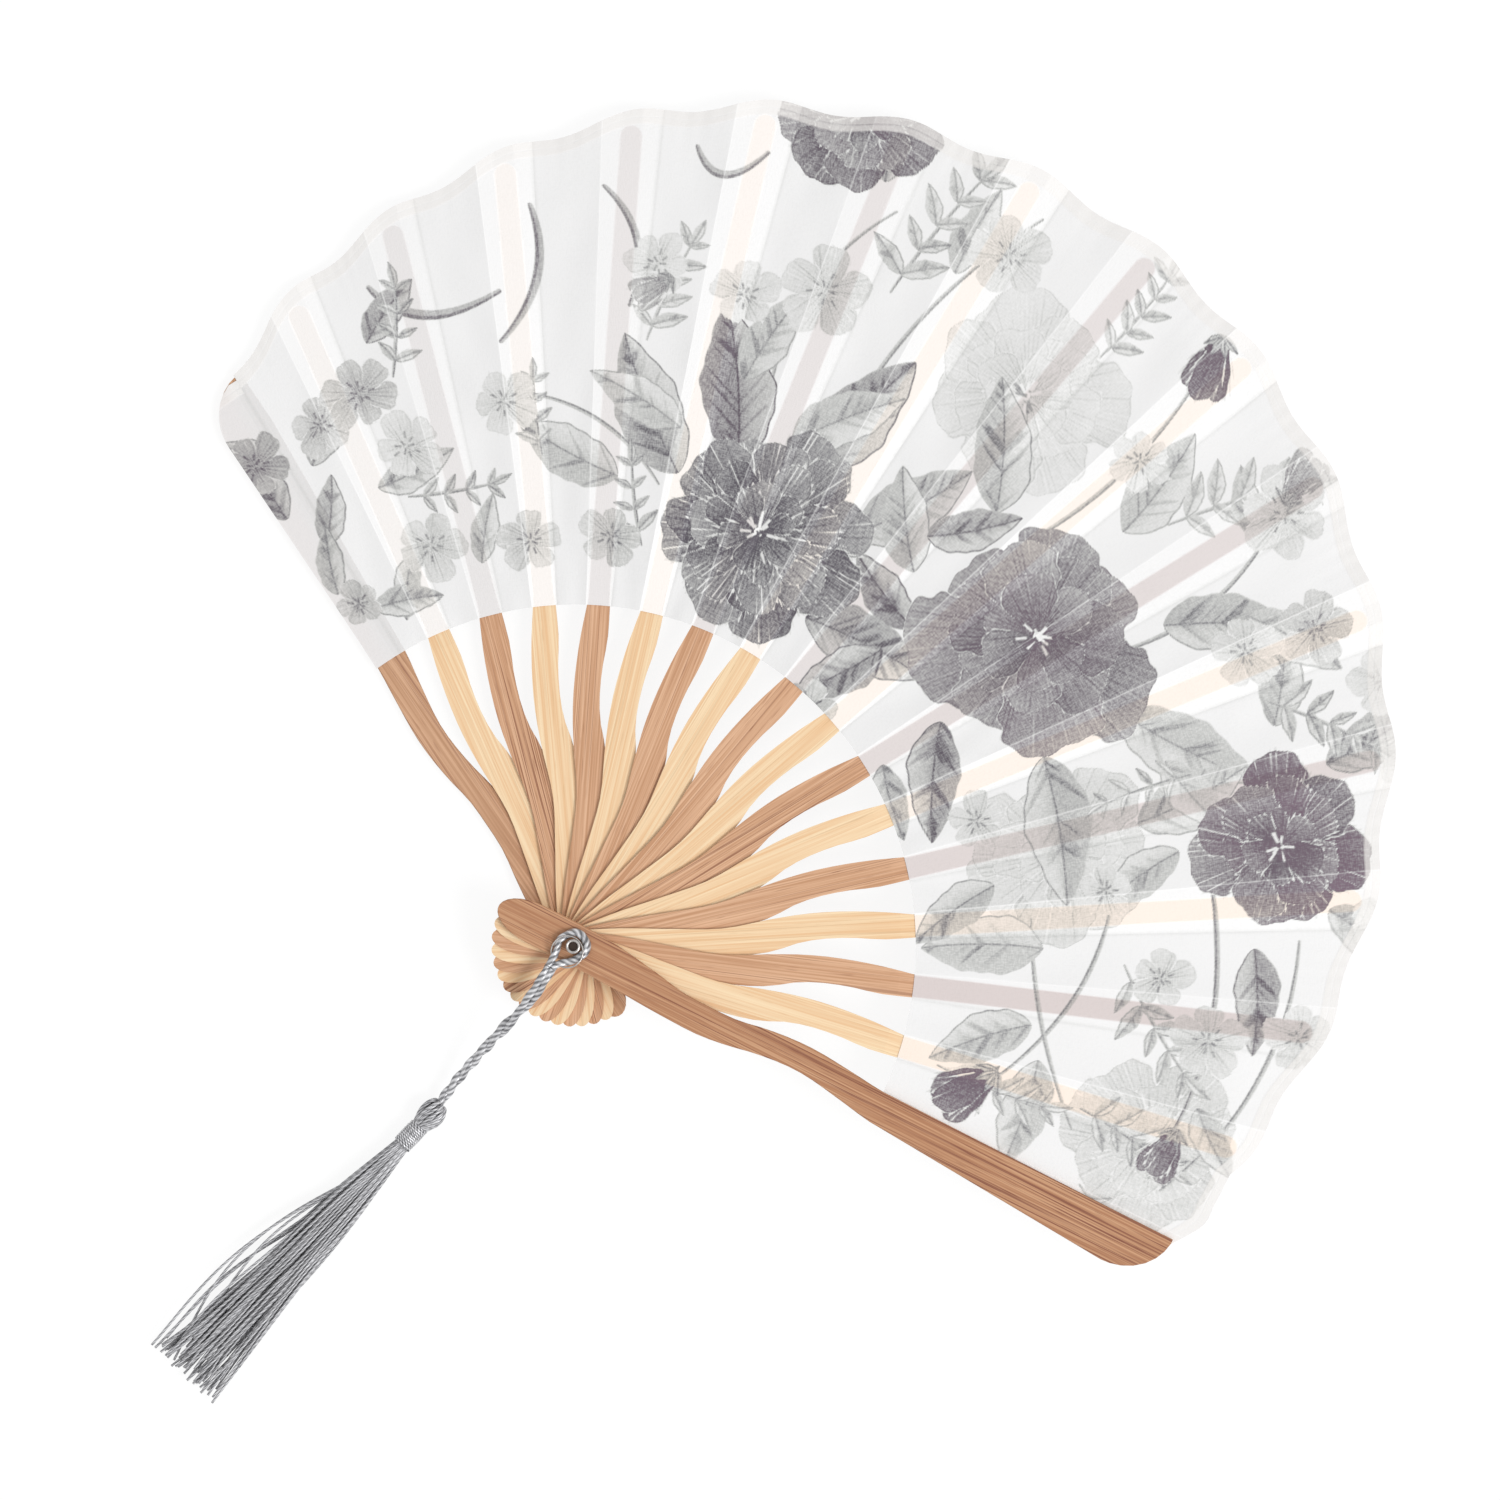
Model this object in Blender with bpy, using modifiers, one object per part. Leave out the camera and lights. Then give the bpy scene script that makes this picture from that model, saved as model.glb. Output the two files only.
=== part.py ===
"""A folding fan, opened: bamboo sticks on a tubular rivet, a pleated cloth leaf, and a tassel on a cord.

Metres, +Z up. The sticks turn about Z, the rivet's rear head stands on Z = 0, and the leaf opens towards +Y.
Sticks are counted from the back guard, at -X and lowest, to the front guard, at +X and on top.
"""

import math

import bmesh
import bpy
import numpy as np
from mathutils import Matrix

MM = 0.001
CLEARANCE = 0.3 * MM
GLUE_GAP = 0.1 * MM
OVERRUN = 2 * MM

# The opened fan
STICKS = 17
OPEN_SPREAD = math.radians(150.8)
MIDDLE = math.radians(90)
# The sticks of the half by the front guard are spread a little wider than the others
UNEVEN_SPREAD = math.radians(3.1)

# Rivet
HEAD_RADIUS = 3.2 * MM
HEAD_THICKNESS = 0.7 * MM
SHANK_RADIUS = 1.65 * MM
BORE_RADIUS = 1.3 * MM
BORE_DEPTH = 5 * MM
RIM_RADIUS = 2.05 * MM
RIM_THICKNESS = 0.7 * MM
RIVET_SIDES = 24
PIVOT_FIT = 0.25 * MM
PIVOT_BORE_SIDES = 20

# Ribs
RIB_THICKNESS = 0.6 * MM
RIB_TIP_THICKNESS = 0.35 * MM
RIB_STEP = 0.9 * MM
RIB_WIDTH = 9 * MM
RIB_SWAY = 1.6 * MM
RIB_TIP_WIDTH = 5.6 * MM
RIB_TAIL = 12.6 * MM
RIB_TAIL_ROUND = 10.6 * MM
RIB_SHOULDER = 4 * MM
RIB_SECTIONS = 27
# How far round a stick's rounded end its sections lie, from the tip
END_TURNS = np.radians((84, 73, 61, 48, 35, 22, 10))
# Along the rib as a share of the leaf's inner radius, then its centre line and width as shares of its sway and width
RIB_SHARES = (
    (0.00, 0.00, 0.96),
    (0.15, 0.00, 0.90),
    (0.29, -0.61, 0.90),
    (0.44, -1.00, 0.89),
    (0.58, -0.18, 1.00),
    (0.67, 0.77, 0.86),
    (0.73, 1.00, 0.83),
    (0.82, 0.86, 0.83),
    (0.90, 0.40, 0.86),
    (1.00, 0.00, 0.72),
)

# Guards
GUARD_THICKNESS = 2.0 * MM
GUARD_REACH = 187 * MM
GUARD_WIDTH = 14 * MM
GUARD_SWAY = 2.4 * MM
GUARD_TAIL = 12.6 * MM
GUARD_TAIL_ROUND = 11.2 * MM
GUARD_TIP_ROUND = 15.7 * MM
GUARD_EDGE = 0.3 * MM
GUARD_LEAN = math.radians(1.0)
GUARD_SECTIONS = 29
# Along the guard as a share of its reach, then centre line and width as shares of its sway and width
GUARD_SHARES = (
    (0.000, 0.26, 0.81),
    (0.060, 0.03, 0.79),
    (0.097, -0.23, 0.74),
    (0.135, -0.55, 0.69),
    (0.180, -0.92, 0.61),
    (0.225, -0.98, 0.60),
    (0.270, -0.73, 0.55),
    (0.314, -0.12, 0.54),
    (0.382, 0.29, 0.54),
    (0.457, -0.29, 0.60),
    (0.509, -0.85, 0.65),
    (0.584, -1.11, 0.70),
    (0.734, -1.55, 0.83),
    (0.916, -2.10, 1.00),
)

# Leaf
LEAF_THICKNESS = 0.15 * MM
LEAF_INNER_RADIUS = 96 * MM
LEAF_EDGE_RADIUS = 180.9 * MM
LEAF_EDGE_CENTRE = (-1.9 * MM, 74.2 * MM)
LEAF_SCALLOP = 1.5 * MM
LEAF_HEM = 4.5 * MM
PLEAT_HALF_ANGLE = math.radians(2.1)
RIDGE_RISE = 0.25 * MM
VALLEY_DROP = 0.4 * MM
BACK_OVERHANG = 0.4 * MM
BACK_TRIM = 2.3 * MM
FRONT_TRIM = 3.5 * MM
FRONT_GLUE_ANGLE = math.radians(0.6)
PLEAT_ROW_SHARES = (0.0, 0.33, 0.67, 1.0)
BACK_ROW_SHARES = (0.0, 0.4, 0.83, 0.9, 0.95, 0.98, 1.0)
FOLD_COLUMNS = 4

# Cord, wire ring and tassel
CORD_DIAMETER = 2.6 * MM
NOOSE_CORD = 1.5 * MM
NOOSE_RADIUS = 3.9 * MM
NOOSE_TIP = 7.2 * MM
NOOSE_POWER = 6
NOOSE_TURN = math.radians(263.4)
NOOSE_POINTS = 30
WIRE_DIAMETER = 0.45 * MM
WIRE_RADIUS = 4.45 * MM
WIRE_POINTS = 36
RING_GAP = 0.15 * MM
TASSEL_START = 59.6 * MM
TASSEL_SIDE = 2.3 * MM
TASSEL_LEAN = math.radians(-1.55)
TASSEL_HEIGHT = 4.0 * MM
TASSEL_HEAD_LENGTH = 8.0 * MM
TASSEL_HEAD_RADIUS = 3.95 * MM
TASSEL_HEAD_TURNS = np.radians(np.arange(0, 145, 18))
TASSEL_SIDES = 20
TASSEL_CORE_RADIUS = 2.05 * MM
BINDING_LENGTH = 7.5 * MM
BINDING_THREAD = 0.5 * MM
BINDING_TURNS = 7
TURN_POINTS = 24
COLLAR_RADIUS = 3.0 * MM
COLLAR_THICKNESS = 1.2 * MM
SKIRT_LENGTH = 86 * MM
STRAND_RADIUS = 0.26 * MM
STRANDS = 72
STRAND_SIDES = 3
SKIRT_WIDEST = 10.5 * MM
# Along the skirt as a share of its length, its half-widths across and upwards as shares of its widest, and the
# height of its middle as a share of the tassel's
SKIRT_SHARES = (
    (0.00, 0.235, 0.235, 1.00),
    (0.22, 0.44, 0.30, 0.93),
    (0.55, 0.68, 0.31, 0.88),
    (1.00, 1.00, 0.28, 0.80),
)
# The cord's own route, from the noose down to the tassel lying on the ground
CORD_ROUTE = (
    (-0.0008, -0.0087, 0.0209),
    (0.0000, -0.0125, 0.0206),
    (0.0008, -0.0170, 0.0194),
    (0.0012, -0.0225, 0.0172),
    (0.0011, -0.0290, 0.0140),
    (0.0009, -0.0360, 0.0106),
    (0.0009, -0.0430, 0.0078),
    (0.0011, -0.0500, 0.0056),
    (0.0015, -0.0552, 0.0045),
    (0.0020, -0.0592, 0.0041),
)
CORD_POINT_GAP = 2.5

# Heights, from the ground up
BACK_GUARD_BOTTOM = HEAD_THICKNESS + CLEARANCE
FIRST_RIB_BOTTOM = BACK_GUARD_BOTTOM + GUARD_THICKNESS + 2 * GLUE_GAP + LEAF_THICKNESS + GLUE_GAP
LAST_RIB_BOTTOM = FIRST_RIB_BOTTOM + (STICKS - 3) * RIB_STEP
PLEAT_LIFT = RIB_TIP_THICKNESS + GLUE_GAP
FRONT_PLEAT_BOTTOM = LAST_RIB_BOTTOM + PLEAT_LIFT + RIDGE_RISE + LEAF_THICKNESS + GLUE_GAP
FRONT_GUARD_BOTTOM = FRONT_PLEAT_BOTTOM + LEAF_THICKNESS + GLUE_GAP
FRONT_GUARD_TOP = FRONT_GUARD_BOTTOM + GUARD_THICKNESS
NOOSE_HEIGHT = FRONT_GUARD_TOP + CLEARANCE + NOOSE_CORD / 2
WIRE_HEIGHT = NOOSE_HEIGHT + NOOSE_CORD / 2 + RING_GAP + WIRE_DIAMETER / 2
RIM_BOTTOM = WIRE_HEIGHT + WIRE_DIAMETER / 2 + RING_GAP
RIVET_TOP = RIM_BOTTOM + RIM_THICKNESS

for old in list(bpy.data.objects):
    bpy.data.objects.remove(old)

FAN = bpy.data.collections.new("folding_fan")
CUTTERS = bpy.data.collections.new("cutters")
for group in (FAN, CUTTERS):
    bpy.context.scene.collection.children.link(group)


def finish(name, colour, roughness, metallic=0.0):
    """A plain material of one colour."""
    made = bpy.data.materials.new(name)
    made.use_nodes = True
    shader = made.node_tree.nodes["Principled BSDF"]
    shader.inputs["Base Color"].default_value = (*colour, 1.0)
    shader.inputs["Roughness"].default_value = roughness
    shader.inputs["Metallic"].default_value = metallic
    return made


DARK_BAMBOO = finish("dark_bamboo", (0.45, 0.22, 0.11), 0.5)
LIGHT_BAMBOO = finish("light_bamboo", (0.83, 0.62, 0.36), 0.5)
CLOTH = finish("printed_satin", (0.86, 0.86, 0.86), 0.6)
THREAD = finish("grey_thread", (0.20, 0.20, 0.22), 0.55)
STEEL = finish("nickel_steel", (0.62, 0.60, 0.57), 0.3, 1.0)


def add(name, data, coat, place=(0.0, 0.0, 0.0), turn=(0.0, 0.0, 0.0), group=FAN):
    """A named object in the fan, with its origin at its place."""
    made = bpy.data.objects.new(name, data)
    made.location = place
    made.rotation_euler = turn
    if coat:
        data.materials.append(coat)
    group.objects.link(made)
    return made


def smooth_through(knots, values, at):
    """A smooth curve through the values at the knots, read at the given places."""
    knots, values, at = (np.asarray(x, float) for x in (knots, values, at))
    slope = np.gradient(values, knots)
    i = np.clip(np.searchsorted(knots, at, side="right") - 1, 0, len(knots) - 2)
    span = knots[i + 1] - knots[i]
    t = (at - knots[i]) / span
    start = (1 + 2 * t) * (1 - t) ** 2 * values[i] + t * (1 - t) ** 2 * span * slope[i]
    return start + t * t * (3 - 2 * t) * values[i + 1] + t * t * (t - 1) * span * slope[i + 1]


def loft(name, rings):
    """A closed solid through rings of corners, each ring counter-clockwise as seen against its travel."""
    rings = np.asarray(rings)
    count, corners = rings.shape[:2]
    here = np.arange(count * corners).reshape(count, corners)
    beside = np.roll(here, -1, axis=1)
    sides = np.stack([here[:-1], here[1:], beside[1:], beside[:-1]], axis=-1).reshape(-1, 4)
    caps = [here[0].tolist(), here[-1][::-1].tolist()]
    mesh = bpy.data.meshes.new(name)
    mesh.from_pydata(rings.reshape(-1, 3).tolist(), [], sides.tolist() + caps)
    shape = bmesh.new()
    shape.from_mesh(mesh)
    bmesh.ops.recalc_face_normals(shape, faces=shape.faces)
    shape.to_mesh(mesh)
    shape.free()
    return mesh


def plank(name, along, left, right, thickness, edge):
    """A flat stick: its left and right outlines and its thickness at each place along it, with eased edges."""
    rows = zip(along, left, right, np.broadcast_to(thickness, along.shape))
    if edge:
        rings = [
            [
                (u, r + edge, 0.0),
                (u, l - edge, 0.0),
                (u, l, edge),
                (u, l, high - edge),
                (u, l - edge, high),
                (u, r + edge, high),
                (u, r, high - edge),
                (u, r, edge),
            ]
            for u, l, r, high in rows
        ]
    else:
        rings = [[(u, r, 0.0), (u, l, 0.0), (u, l, high), (u, r, high)] for u, l, r, high in rows]
    return loft(name, rings)


def stick_angle(number):
    """The direction of a stick where it meets the leaf, from +X."""
    share = (number - 1) / (STICKS - 1)
    return MIDDLE + OPEN_SPREAD * (0.5 - share) + UNEVEN_SPREAD * math.sin(math.pi * share**2)


def rib_bottom(number):
    return FIRST_RIB_BOTTOM + (number - 2) * RIB_STEP


def leaf_reach(angle):
    """The distance from the pivot to the leaf's scalloped edge, in a direction."""
    cx, cy = LEAF_EDGE_CENTRE
    towards = cx * np.cos(angle) + cy * np.sin(angle)
    arc = towards + np.sqrt(LEAF_EDGE_RADIUS**2 - cx**2 - cy**2 + towards**2)
    numbers = np.arange(STICKS, 0, -1)
    place = np.interp(angle, [stick_angle(n) for n in numbers], numbers)
    return arc + LEAF_SCALLOP * np.cos(2 * math.pi * place)


def guard_sides(along):
    """The guard's two long edges, before its ends are rounded."""
    reach, sway, width = np.array(GUARD_SHARES).T
    middle = smooth_through(reach * GUARD_REACH, sway * GUARD_SWAY, np.maximum(along, 0))
    half = smooth_through(reach * GUARD_REACH, width * GUARD_WIDTH / 2, np.maximum(along, 0))
    return middle + half, middle - half


def rounded_off(along, width):
    """How far a guard's outer corner is cut back from its edge, at a place along it: a quarter of an ellipse."""
    into = np.clip((along - GUARD_REACH) / GUARD_TIP_ROUND + 1, 0, 1)
    return width * (1 - np.sqrt(1 - into**2))


# Sticks
bpy.ops.mesh.primitive_cylinder_add(
    vertices=PIVOT_BORE_SIDES,
    radius=SHANK_RADIUS + PIVOT_FIT,
    depth=RIVET_TOP + 2 * OVERRUN,
    location=(0.0, 0.0, RIVET_TOP / 2),
)
PIVOT_BORE = bpy.context.object
PIVOT_BORE.name = "pivot_bore"
for group in list(PIVOT_BORE.users_collection):
    group.objects.unlink(PIVOT_BORE)
CUTTERS.objects.link(PIVOT_BORE)
PIVOT_BORE.hide_render = True
PIVOT_BORE.display_type = "WIRE"


def bored(stick):
    """Cuts the rivet's hole through a stick."""
    cut = stick.modifiers.new("pivot_hole", "BOOLEAN")
    cut.object = PIVOT_BORE
    cut.operation = "DIFFERENCE"
    return stick


def rib(number):
    """An inner stick: a round tail, a double bend in the open part, and a thin straight blade under the leaf."""
    reach, sway, width = np.array(RIB_SHARES).T
    knots = reach * LEAF_INNER_RADIUS
    tip = leaf_reach(stick_angle(number)) - LEAF_HEM
    tail_half = width[0] * RIB_WIDTH / 2
    tail = -RIB_TAIL - RIB_TAIL_ROUND * np.sin(END_TURNS)
    open_part = np.linspace(-RIB_TAIL, LEAF_INNER_RADIUS, RIB_SECTIONS)
    blade = np.array([LEAF_INNER_RADIUS + RIB_SHOULDER, tip - RIB_TIP_WIDTH / 2])
    end = tip - RIB_TIP_WIDTH / 2 * (1 - np.sin(END_TURNS[:0:-1]))
    middle = smooth_through(knots, sway * RIB_SWAY, np.maximum(open_part, 0))
    half = smooth_through(knots, width * RIB_WIDTH / 2, np.maximum(open_part, 0))
    along = np.concatenate([tail, open_part, blade, end])
    middle = np.concatenate([0 * tail, middle, 0 * blade, 0 * end])
    half = np.concatenate(
        [
            tail_half * np.cos(END_TURNS),
            half,
            np.full(2, RIB_TIP_WIDTH / 2),
            RIB_TIP_WIDTH / 2 * np.cos(END_TURNS[:0:-1]),
        ]
    )
    under_leaf = along >= LEAF_INNER_RADIUS
    thickness = np.where(under_leaf, RIB_TIP_THICKNESS, RIB_THICKNESS)
    name = f"rib_{number:02d}"
    mesh = plank(name, along, middle + half, middle - half, thickness, 0)
    coat = DARK_BAMBOO if number % 2 else LIGHT_BAMBOO
    place = (0.0, 0.0, rib_bottom(number))
    return bored(add(name, mesh, coat, place, (0.0, 0.0, stick_angle(number))))


def guard(name, number, bottom):
    """An outer stick: thicker, widening to a blade whose outer corner is rounded off."""
    tail = -GUARD_TAIL - GUARD_TAIL_ROUND * np.sin(END_TURNS)
    tip_start = GUARD_REACH - GUARD_TIP_ROUND
    body = np.concatenate([np.linspace(-GUARD_TAIL, LEAF_INNER_RADIUS, GUARD_SECTIONS), [tip_start]])
    tip = tip_start + GUARD_TIP_ROUND * np.sin(END_TURNS[::-1])
    left, right = guard_sides(body)
    middle, half = (left[0] + right[0]) / 2, (left[0] - right[0]) / 2
    tail_half = half * np.cos(END_TURNS)
    cuts = (rounded_off(tip, left[-1] - right[-1]), np.zeros(len(tip)))
    left_cut, right_cut = cuts if number == 1 else cuts[::-1]
    left = np.concatenate([middle + tail_half, left, left[-1] - left_cut])
    right = np.concatenate([middle - tail_half, right, right[-1] + right_cut])
    along = np.concatenate([tail, body, tip])
    mesh = plank(name, along, left, right, GUARD_THICKNESS, GUARD_EDGE)
    turn = (0.0, 0.0, stick_angle(number) + GUARD_LEAN)
    return bored(add(name, mesh, DARK_BAMBOO, (0.0, 0.0, bottom), turn))


guard("guard_back", 1, BACK_GUARD_BOTTOM)
for number in range(2, STICKS):
    rib(number)
guard("guard_front", STICKS, FRONT_GUARD_BOTTOM)


# Leaf
def cloth(name, points, place, turn):
    """A strip of the leaf: a grid of points, thickened upwards."""
    rows, columns = points.shape[:2]
    here = np.arange(rows * columns).reshape(rows, columns)
    corners = (here[:-1, :-1], here[1:, :-1], here[1:, 1:], here[:-1, 1:])
    faces = np.stack(corners, axis=-1).reshape(-1, 4)
    mesh = bpy.data.meshes.new(name)
    mesh.from_pydata(points.reshape(-1, 3).tolist(), [], faces.tolist())
    made = add(name, mesh, CLOTH, place, (0.0, 0.0, turn))
    wall = made.modifiers.new("cloth", "SOLIDIFY")
    wall.thickness = LEAF_THICKNESS
    wall.offset = 1.0
    return made


def row_radius(reach, shares=PLEAT_ROW_SHARES):
    """The distance of each row of a strip from the pivot, from the leaf's inner edge to its reach."""
    return LEAF_INNER_RADIUS + (reach - LEAF_INNER_RADIUS) * np.array(shares)[:, None]


def strip(angles, heights, reach, shares=PLEAT_ROW_SHARES):
    """Points of a strip: rows from the inner edge to the reach, columns at the given angles and heights."""
    radius, angles, heights = np.broadcast_arrays(row_radius(reach, shares), angles, heights)
    return np.stack([radius * np.cos(angles), radius * np.sin(angles), heights], axis=-1)


def pleat(number):
    """The part of the leaf that is glued along one rib, with a free lip on each side."""
    turn = stick_angle(number)
    edge = leaf_reach(turn)
    flat = (RIB_SHARES[-1][-1] * RIB_WIDTH / 2 + GLUE_GAP) / row_radius(edge)
    lip = np.full_like(flat, PLEAT_HALF_ANGLE)
    angles = np.hstack([-lip, -flat, flat, lip])
    heights = np.array([-VALLEY_DROP, 0.0, 0.0, RIDGE_RISE])
    points = strip(angles, heights, leaf_reach(turn + angles))
    cloth(f"leaf_pleat_{number:02d}", points, (0.0, 0.0, rib_bottom(number) + PLEAT_LIFT), turn)


def back_pleat():
    """The strip glued on the back guard, cut along the guard's edge and its rounded end, a little beyond them."""
    turn = stick_angle(1)
    reach = leaf_reach(turn) - BACK_TRIM
    radius = row_radius(reach, BACK_ROW_SHARES)
    left, right = guard_sides(radius)
    edge = (left - rounded_off(radius, left - right) + BACK_OVERHANG) / radius + GUARD_LEAN
    crease = np.full_like(edge, -PLEAT_HALF_ANGLE)
    points = strip(np.hstack([crease, (crease + edge) / 2, edge]), np.zeros(3), reach, BACK_ROW_SHARES)
    cloth("leaf_pleat_01", points, (0.0, 0.0, BACK_GUARD_BOTTOM + GUARD_THICKNESS + GLUE_GAP), turn)


def front_pleat():
    """The strip glued under the front guard."""
    turn = stick_angle(STICKS)
    angles = np.array([-FRONT_GLUE_ANGLE, PLEAT_HALF_ANGLE / 2, PLEAT_HALF_ANGLE])
    reach = leaf_reach(turn) - FRONT_TRIM
    points = strip(angles, np.zeros(3), reach)
    cloth(f"leaf_pleat_{STICKS:02d}", points, (0.0, 0.0, FRONT_PLEAT_BOTTOM), turn)


def pleat_edges(number):
    """The heights of a pleat's valley edge and ridge edge, above the ground."""
    if number == 1:
        level = BACK_GUARD_BOTTOM + GUARD_THICKNESS + GLUE_GAP
        return level, level
    if number == STICKS:
        return FRONT_PLEAT_BOTTOM, FRONT_PLEAT_BOTTOM
    level = rib_bottom(number) + PLEAT_LIFT
    return level - VALLEY_DROP, level + RIDGE_RISE


def fold(number):
    """The free part of the leaf, from the valley of one pleat up to the ridge of the next."""
    turn = stick_angle(number)
    next_turn = stick_angle(number + 1) - turn
    lip = PLEAT_HALF_ANGLE + GLUE_GAP / LEAF_INNER_RADIUS
    angles = np.linspace(-lip, next_turn + lip, FOLD_COLUMNS + 1)
    valley = pleat_edges(number)[0]
    ridge = pleat_edges(number + 1)[1]
    heights = np.linspace(0.0, ridge - valley, FOLD_COLUMNS + 1)
    reach = leaf_reach(turn + angles)
    trims = np.linspace(BACK_TRIM if number == 1 else 0.0, FRONT_TRIM if number == STICKS - 1 else 0.0, len(angles))
    points = strip(angles, heights, reach - trims)[:, ::-1]
    cloth(f"leaf_fold_{number:02d}", points, (0.0, 0.0, valley), turn)


back_pleat()
for number in range(2, STICKS):
    pleat(number)
front_pleat()
for number in range(1, STICKS):
    fold(number)


# Rivet
def turned(name, profile, coat, steps, place=(0.0, 0.0, 0.0), turn=(0.0, 0.0, 0.0)):
    """A solid of revolution about Z, from a profile that runs over the top and down the outer side."""
    mesh = bpy.data.meshes.new(name)
    edges = [(i, i + 1) for i in range(len(profile) - 1)]
    mesh.from_pydata([(r, 0.0, z) for r, z in profile], edges, [])
    made = add(name, mesh, coat, place, turn)
    spin = made.modifiers.new("turned", "SCREW")
    spin.steps = spin.render_steps = steps
    spin.use_merge_vertices = True
    spin.merge_threshold = MM / 100
    return made


def rivet():
    """A flat rear head, a shank through all the sticks, and a hollow front end rolled over into a rim."""
    crown = (BORE_RADIUS + RIM_RADIUS) / 2
    roll = (RIM_RADIUS - BORE_RADIUS) / 2
    rolled = [
        (crown - roll * math.cos(a), RIVET_TOP - RIM_THICKNESS / 2 + RIM_THICKNESS / 2 * math.sin(a))
        for a in np.linspace(0, math.pi, 7)
    ]
    profile = [
        (0.0, RIVET_TOP - BORE_DEPTH),
        (BORE_RADIUS, RIVET_TOP - BORE_DEPTH),
        *rolled,
        (SHANK_RADIUS, RIM_BOTTOM),
        (SHANK_RADIUS, HEAD_THICKNESS),
        (HEAD_RADIUS, HEAD_THICKNESS),
        (HEAD_RADIUS, 0.0),
        (0.0, 0.0),
    ]
    turned("pivot_rivet", profile, STEEL, RIVET_SIDES)


rivet()


# Wire ring and noose
def tube(name, points, diameter, coat, closed=False, resolution=2, place=(0.0, 0.0, 0.0), turn=(0.0, 0.0, 0.0)):
    """A round tube along a line of points."""
    line = bpy.data.curves.new(name, "CURVE")
    line.dimensions = "3D"
    line.bevel_depth = diameter / 2
    line.bevel_resolution = resolution
    line.use_fill_caps = True
    spline = line.splines.new("POLY")
    spline.points.add(len(points) - 1)
    for point, (x, y, z) in zip(spline.points, points):
        point.co = (x, y, z, 1.0)
    spline.use_cyclic_u = closed
    return add(name, line, coat, place, turn)


def wire_ring():
    """A ring of fine wire that hangs round the rivet's neck, under its rim."""
    shift = WIRE_RADIUS - SHANK_RADIUS - CLEARANCE - WIRE_DIAMETER / 2
    angles = np.linspace(0, 2 * math.pi, WIRE_POINTS, endpoint=False)
    points = [
        (
            shift * math.cos(NOOSE_TURN) + WIRE_RADIUS * math.cos(a),
            shift * math.sin(NOOSE_TURN) + WIRE_RADIUS * math.sin(a),
            WIRE_HEIGHT,
        )
        for a in angles
    ]
    tube("wire_ring", points, WIRE_DIAMETER, STEEL, closed=True)


def noose():
    """The cord's eye, laid round the rivet's neck on the front guard: a circle drawn out to a point."""
    angles = np.linspace(0, 2 * math.pi, NOOSE_POINTS, endpoint=False)
    drawn = np.maximum(np.cos(angles), 0) ** NOOSE_POWER
    radius = NOOSE_RADIUS + (NOOSE_TIP - NOOSE_RADIUS) * drawn
    turned_angles = angles + NOOSE_TURN
    points = np.stack([radius * np.cos(turned_angles), radius * np.sin(turned_angles)], axis=1)
    tube("cord_noose", [(x, y, NOOSE_HEIGHT) for x, y in points], NOOSE_CORD, THREAD, closed=True)


def tassel_cord():
    """The twisted cord, from the noose down to the tassel."""
    route = np.array(CORD_ROUTE)
    run = np.concatenate([[0], np.cumsum(np.linalg.norm(np.diff(route, axis=0), axis=1))])
    count = int(run[-1] / (CORD_POINT_GAP * CORD_DIAMETER)) + 2
    at = np.linspace(0, run[-1], count)
    points = np.stack([smooth_through(run, route[:, k], at) for k in range(3)], axis=1)
    tube("tassel_cord", points, CORD_DIAMETER, THREAD)


wire_ring()
noose()
tassel_cord()

# Tassel, built along Z with its top up, then laid along -Y
TASSEL_PLACE = (TASSEL_SIDE, -TASSEL_START, TASSEL_HEIGHT)
TASSEL_TURN = (-math.pi / 2, 0.0, TASSEL_LEAN)


def tassel_head():
    """The folded-over threads: a ball on top and the neck that the binding is wound on."""
    half = TASSEL_HEAD_LENGTH / 2
    ball = [(TASSEL_HEAD_RADIUS * math.sin(a), -half + half * math.cos(a)) for a in TASSEL_HEAD_TURNS]
    end = -TASSEL_HEAD_LENGTH - BINDING_LENGTH
    profile = [*ball, (TASSEL_CORE_RADIUS, -TASSEL_HEAD_LENGTH), (TASSEL_CORE_RADIUS, end), (0.0, end)]
    turned("tassel_head", profile, THREAD, TASSEL_SIDES, TASSEL_PLACE, TASSEL_TURN)


def tassel_binding():
    """The thread wound round the neck, in one unbroken coil."""
    radius = TASSEL_CORE_RADIUS + CLEARANCE + BINDING_THREAD / 2
    count = BINDING_TURNS * TURN_POINTS + 1
    angles = np.arange(count) * 2 * math.pi / TURN_POINTS
    rise = (BINDING_LENGTH - BINDING_THREAD - CLEARANCE) / BINDING_TURNS
    depth = TASSEL_HEAD_LENGTH + BINDING_THREAD / 2 + CLEARANCE + rise * angles / (2 * math.pi)
    points = np.stack([radius * np.cos(angles), radius * np.sin(angles), -depth], axis=1)
    apart = np.linalg.norm(points[:, None] - points[None], axis=2)
    far_along = np.abs(np.subtract.outer(np.arange(count), np.arange(count))) > TURN_POINTS // 2
    least = apart[far_along].min() - BINDING_THREAD
    print(f"Least gap between the binding's turns: {least / MM:.2f} mm")
    tube("tassel_binding", points, BINDING_THREAD, THREAD, resolution=1, place=TASSEL_PLACE, turn=TASSEL_TURN)


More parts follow.
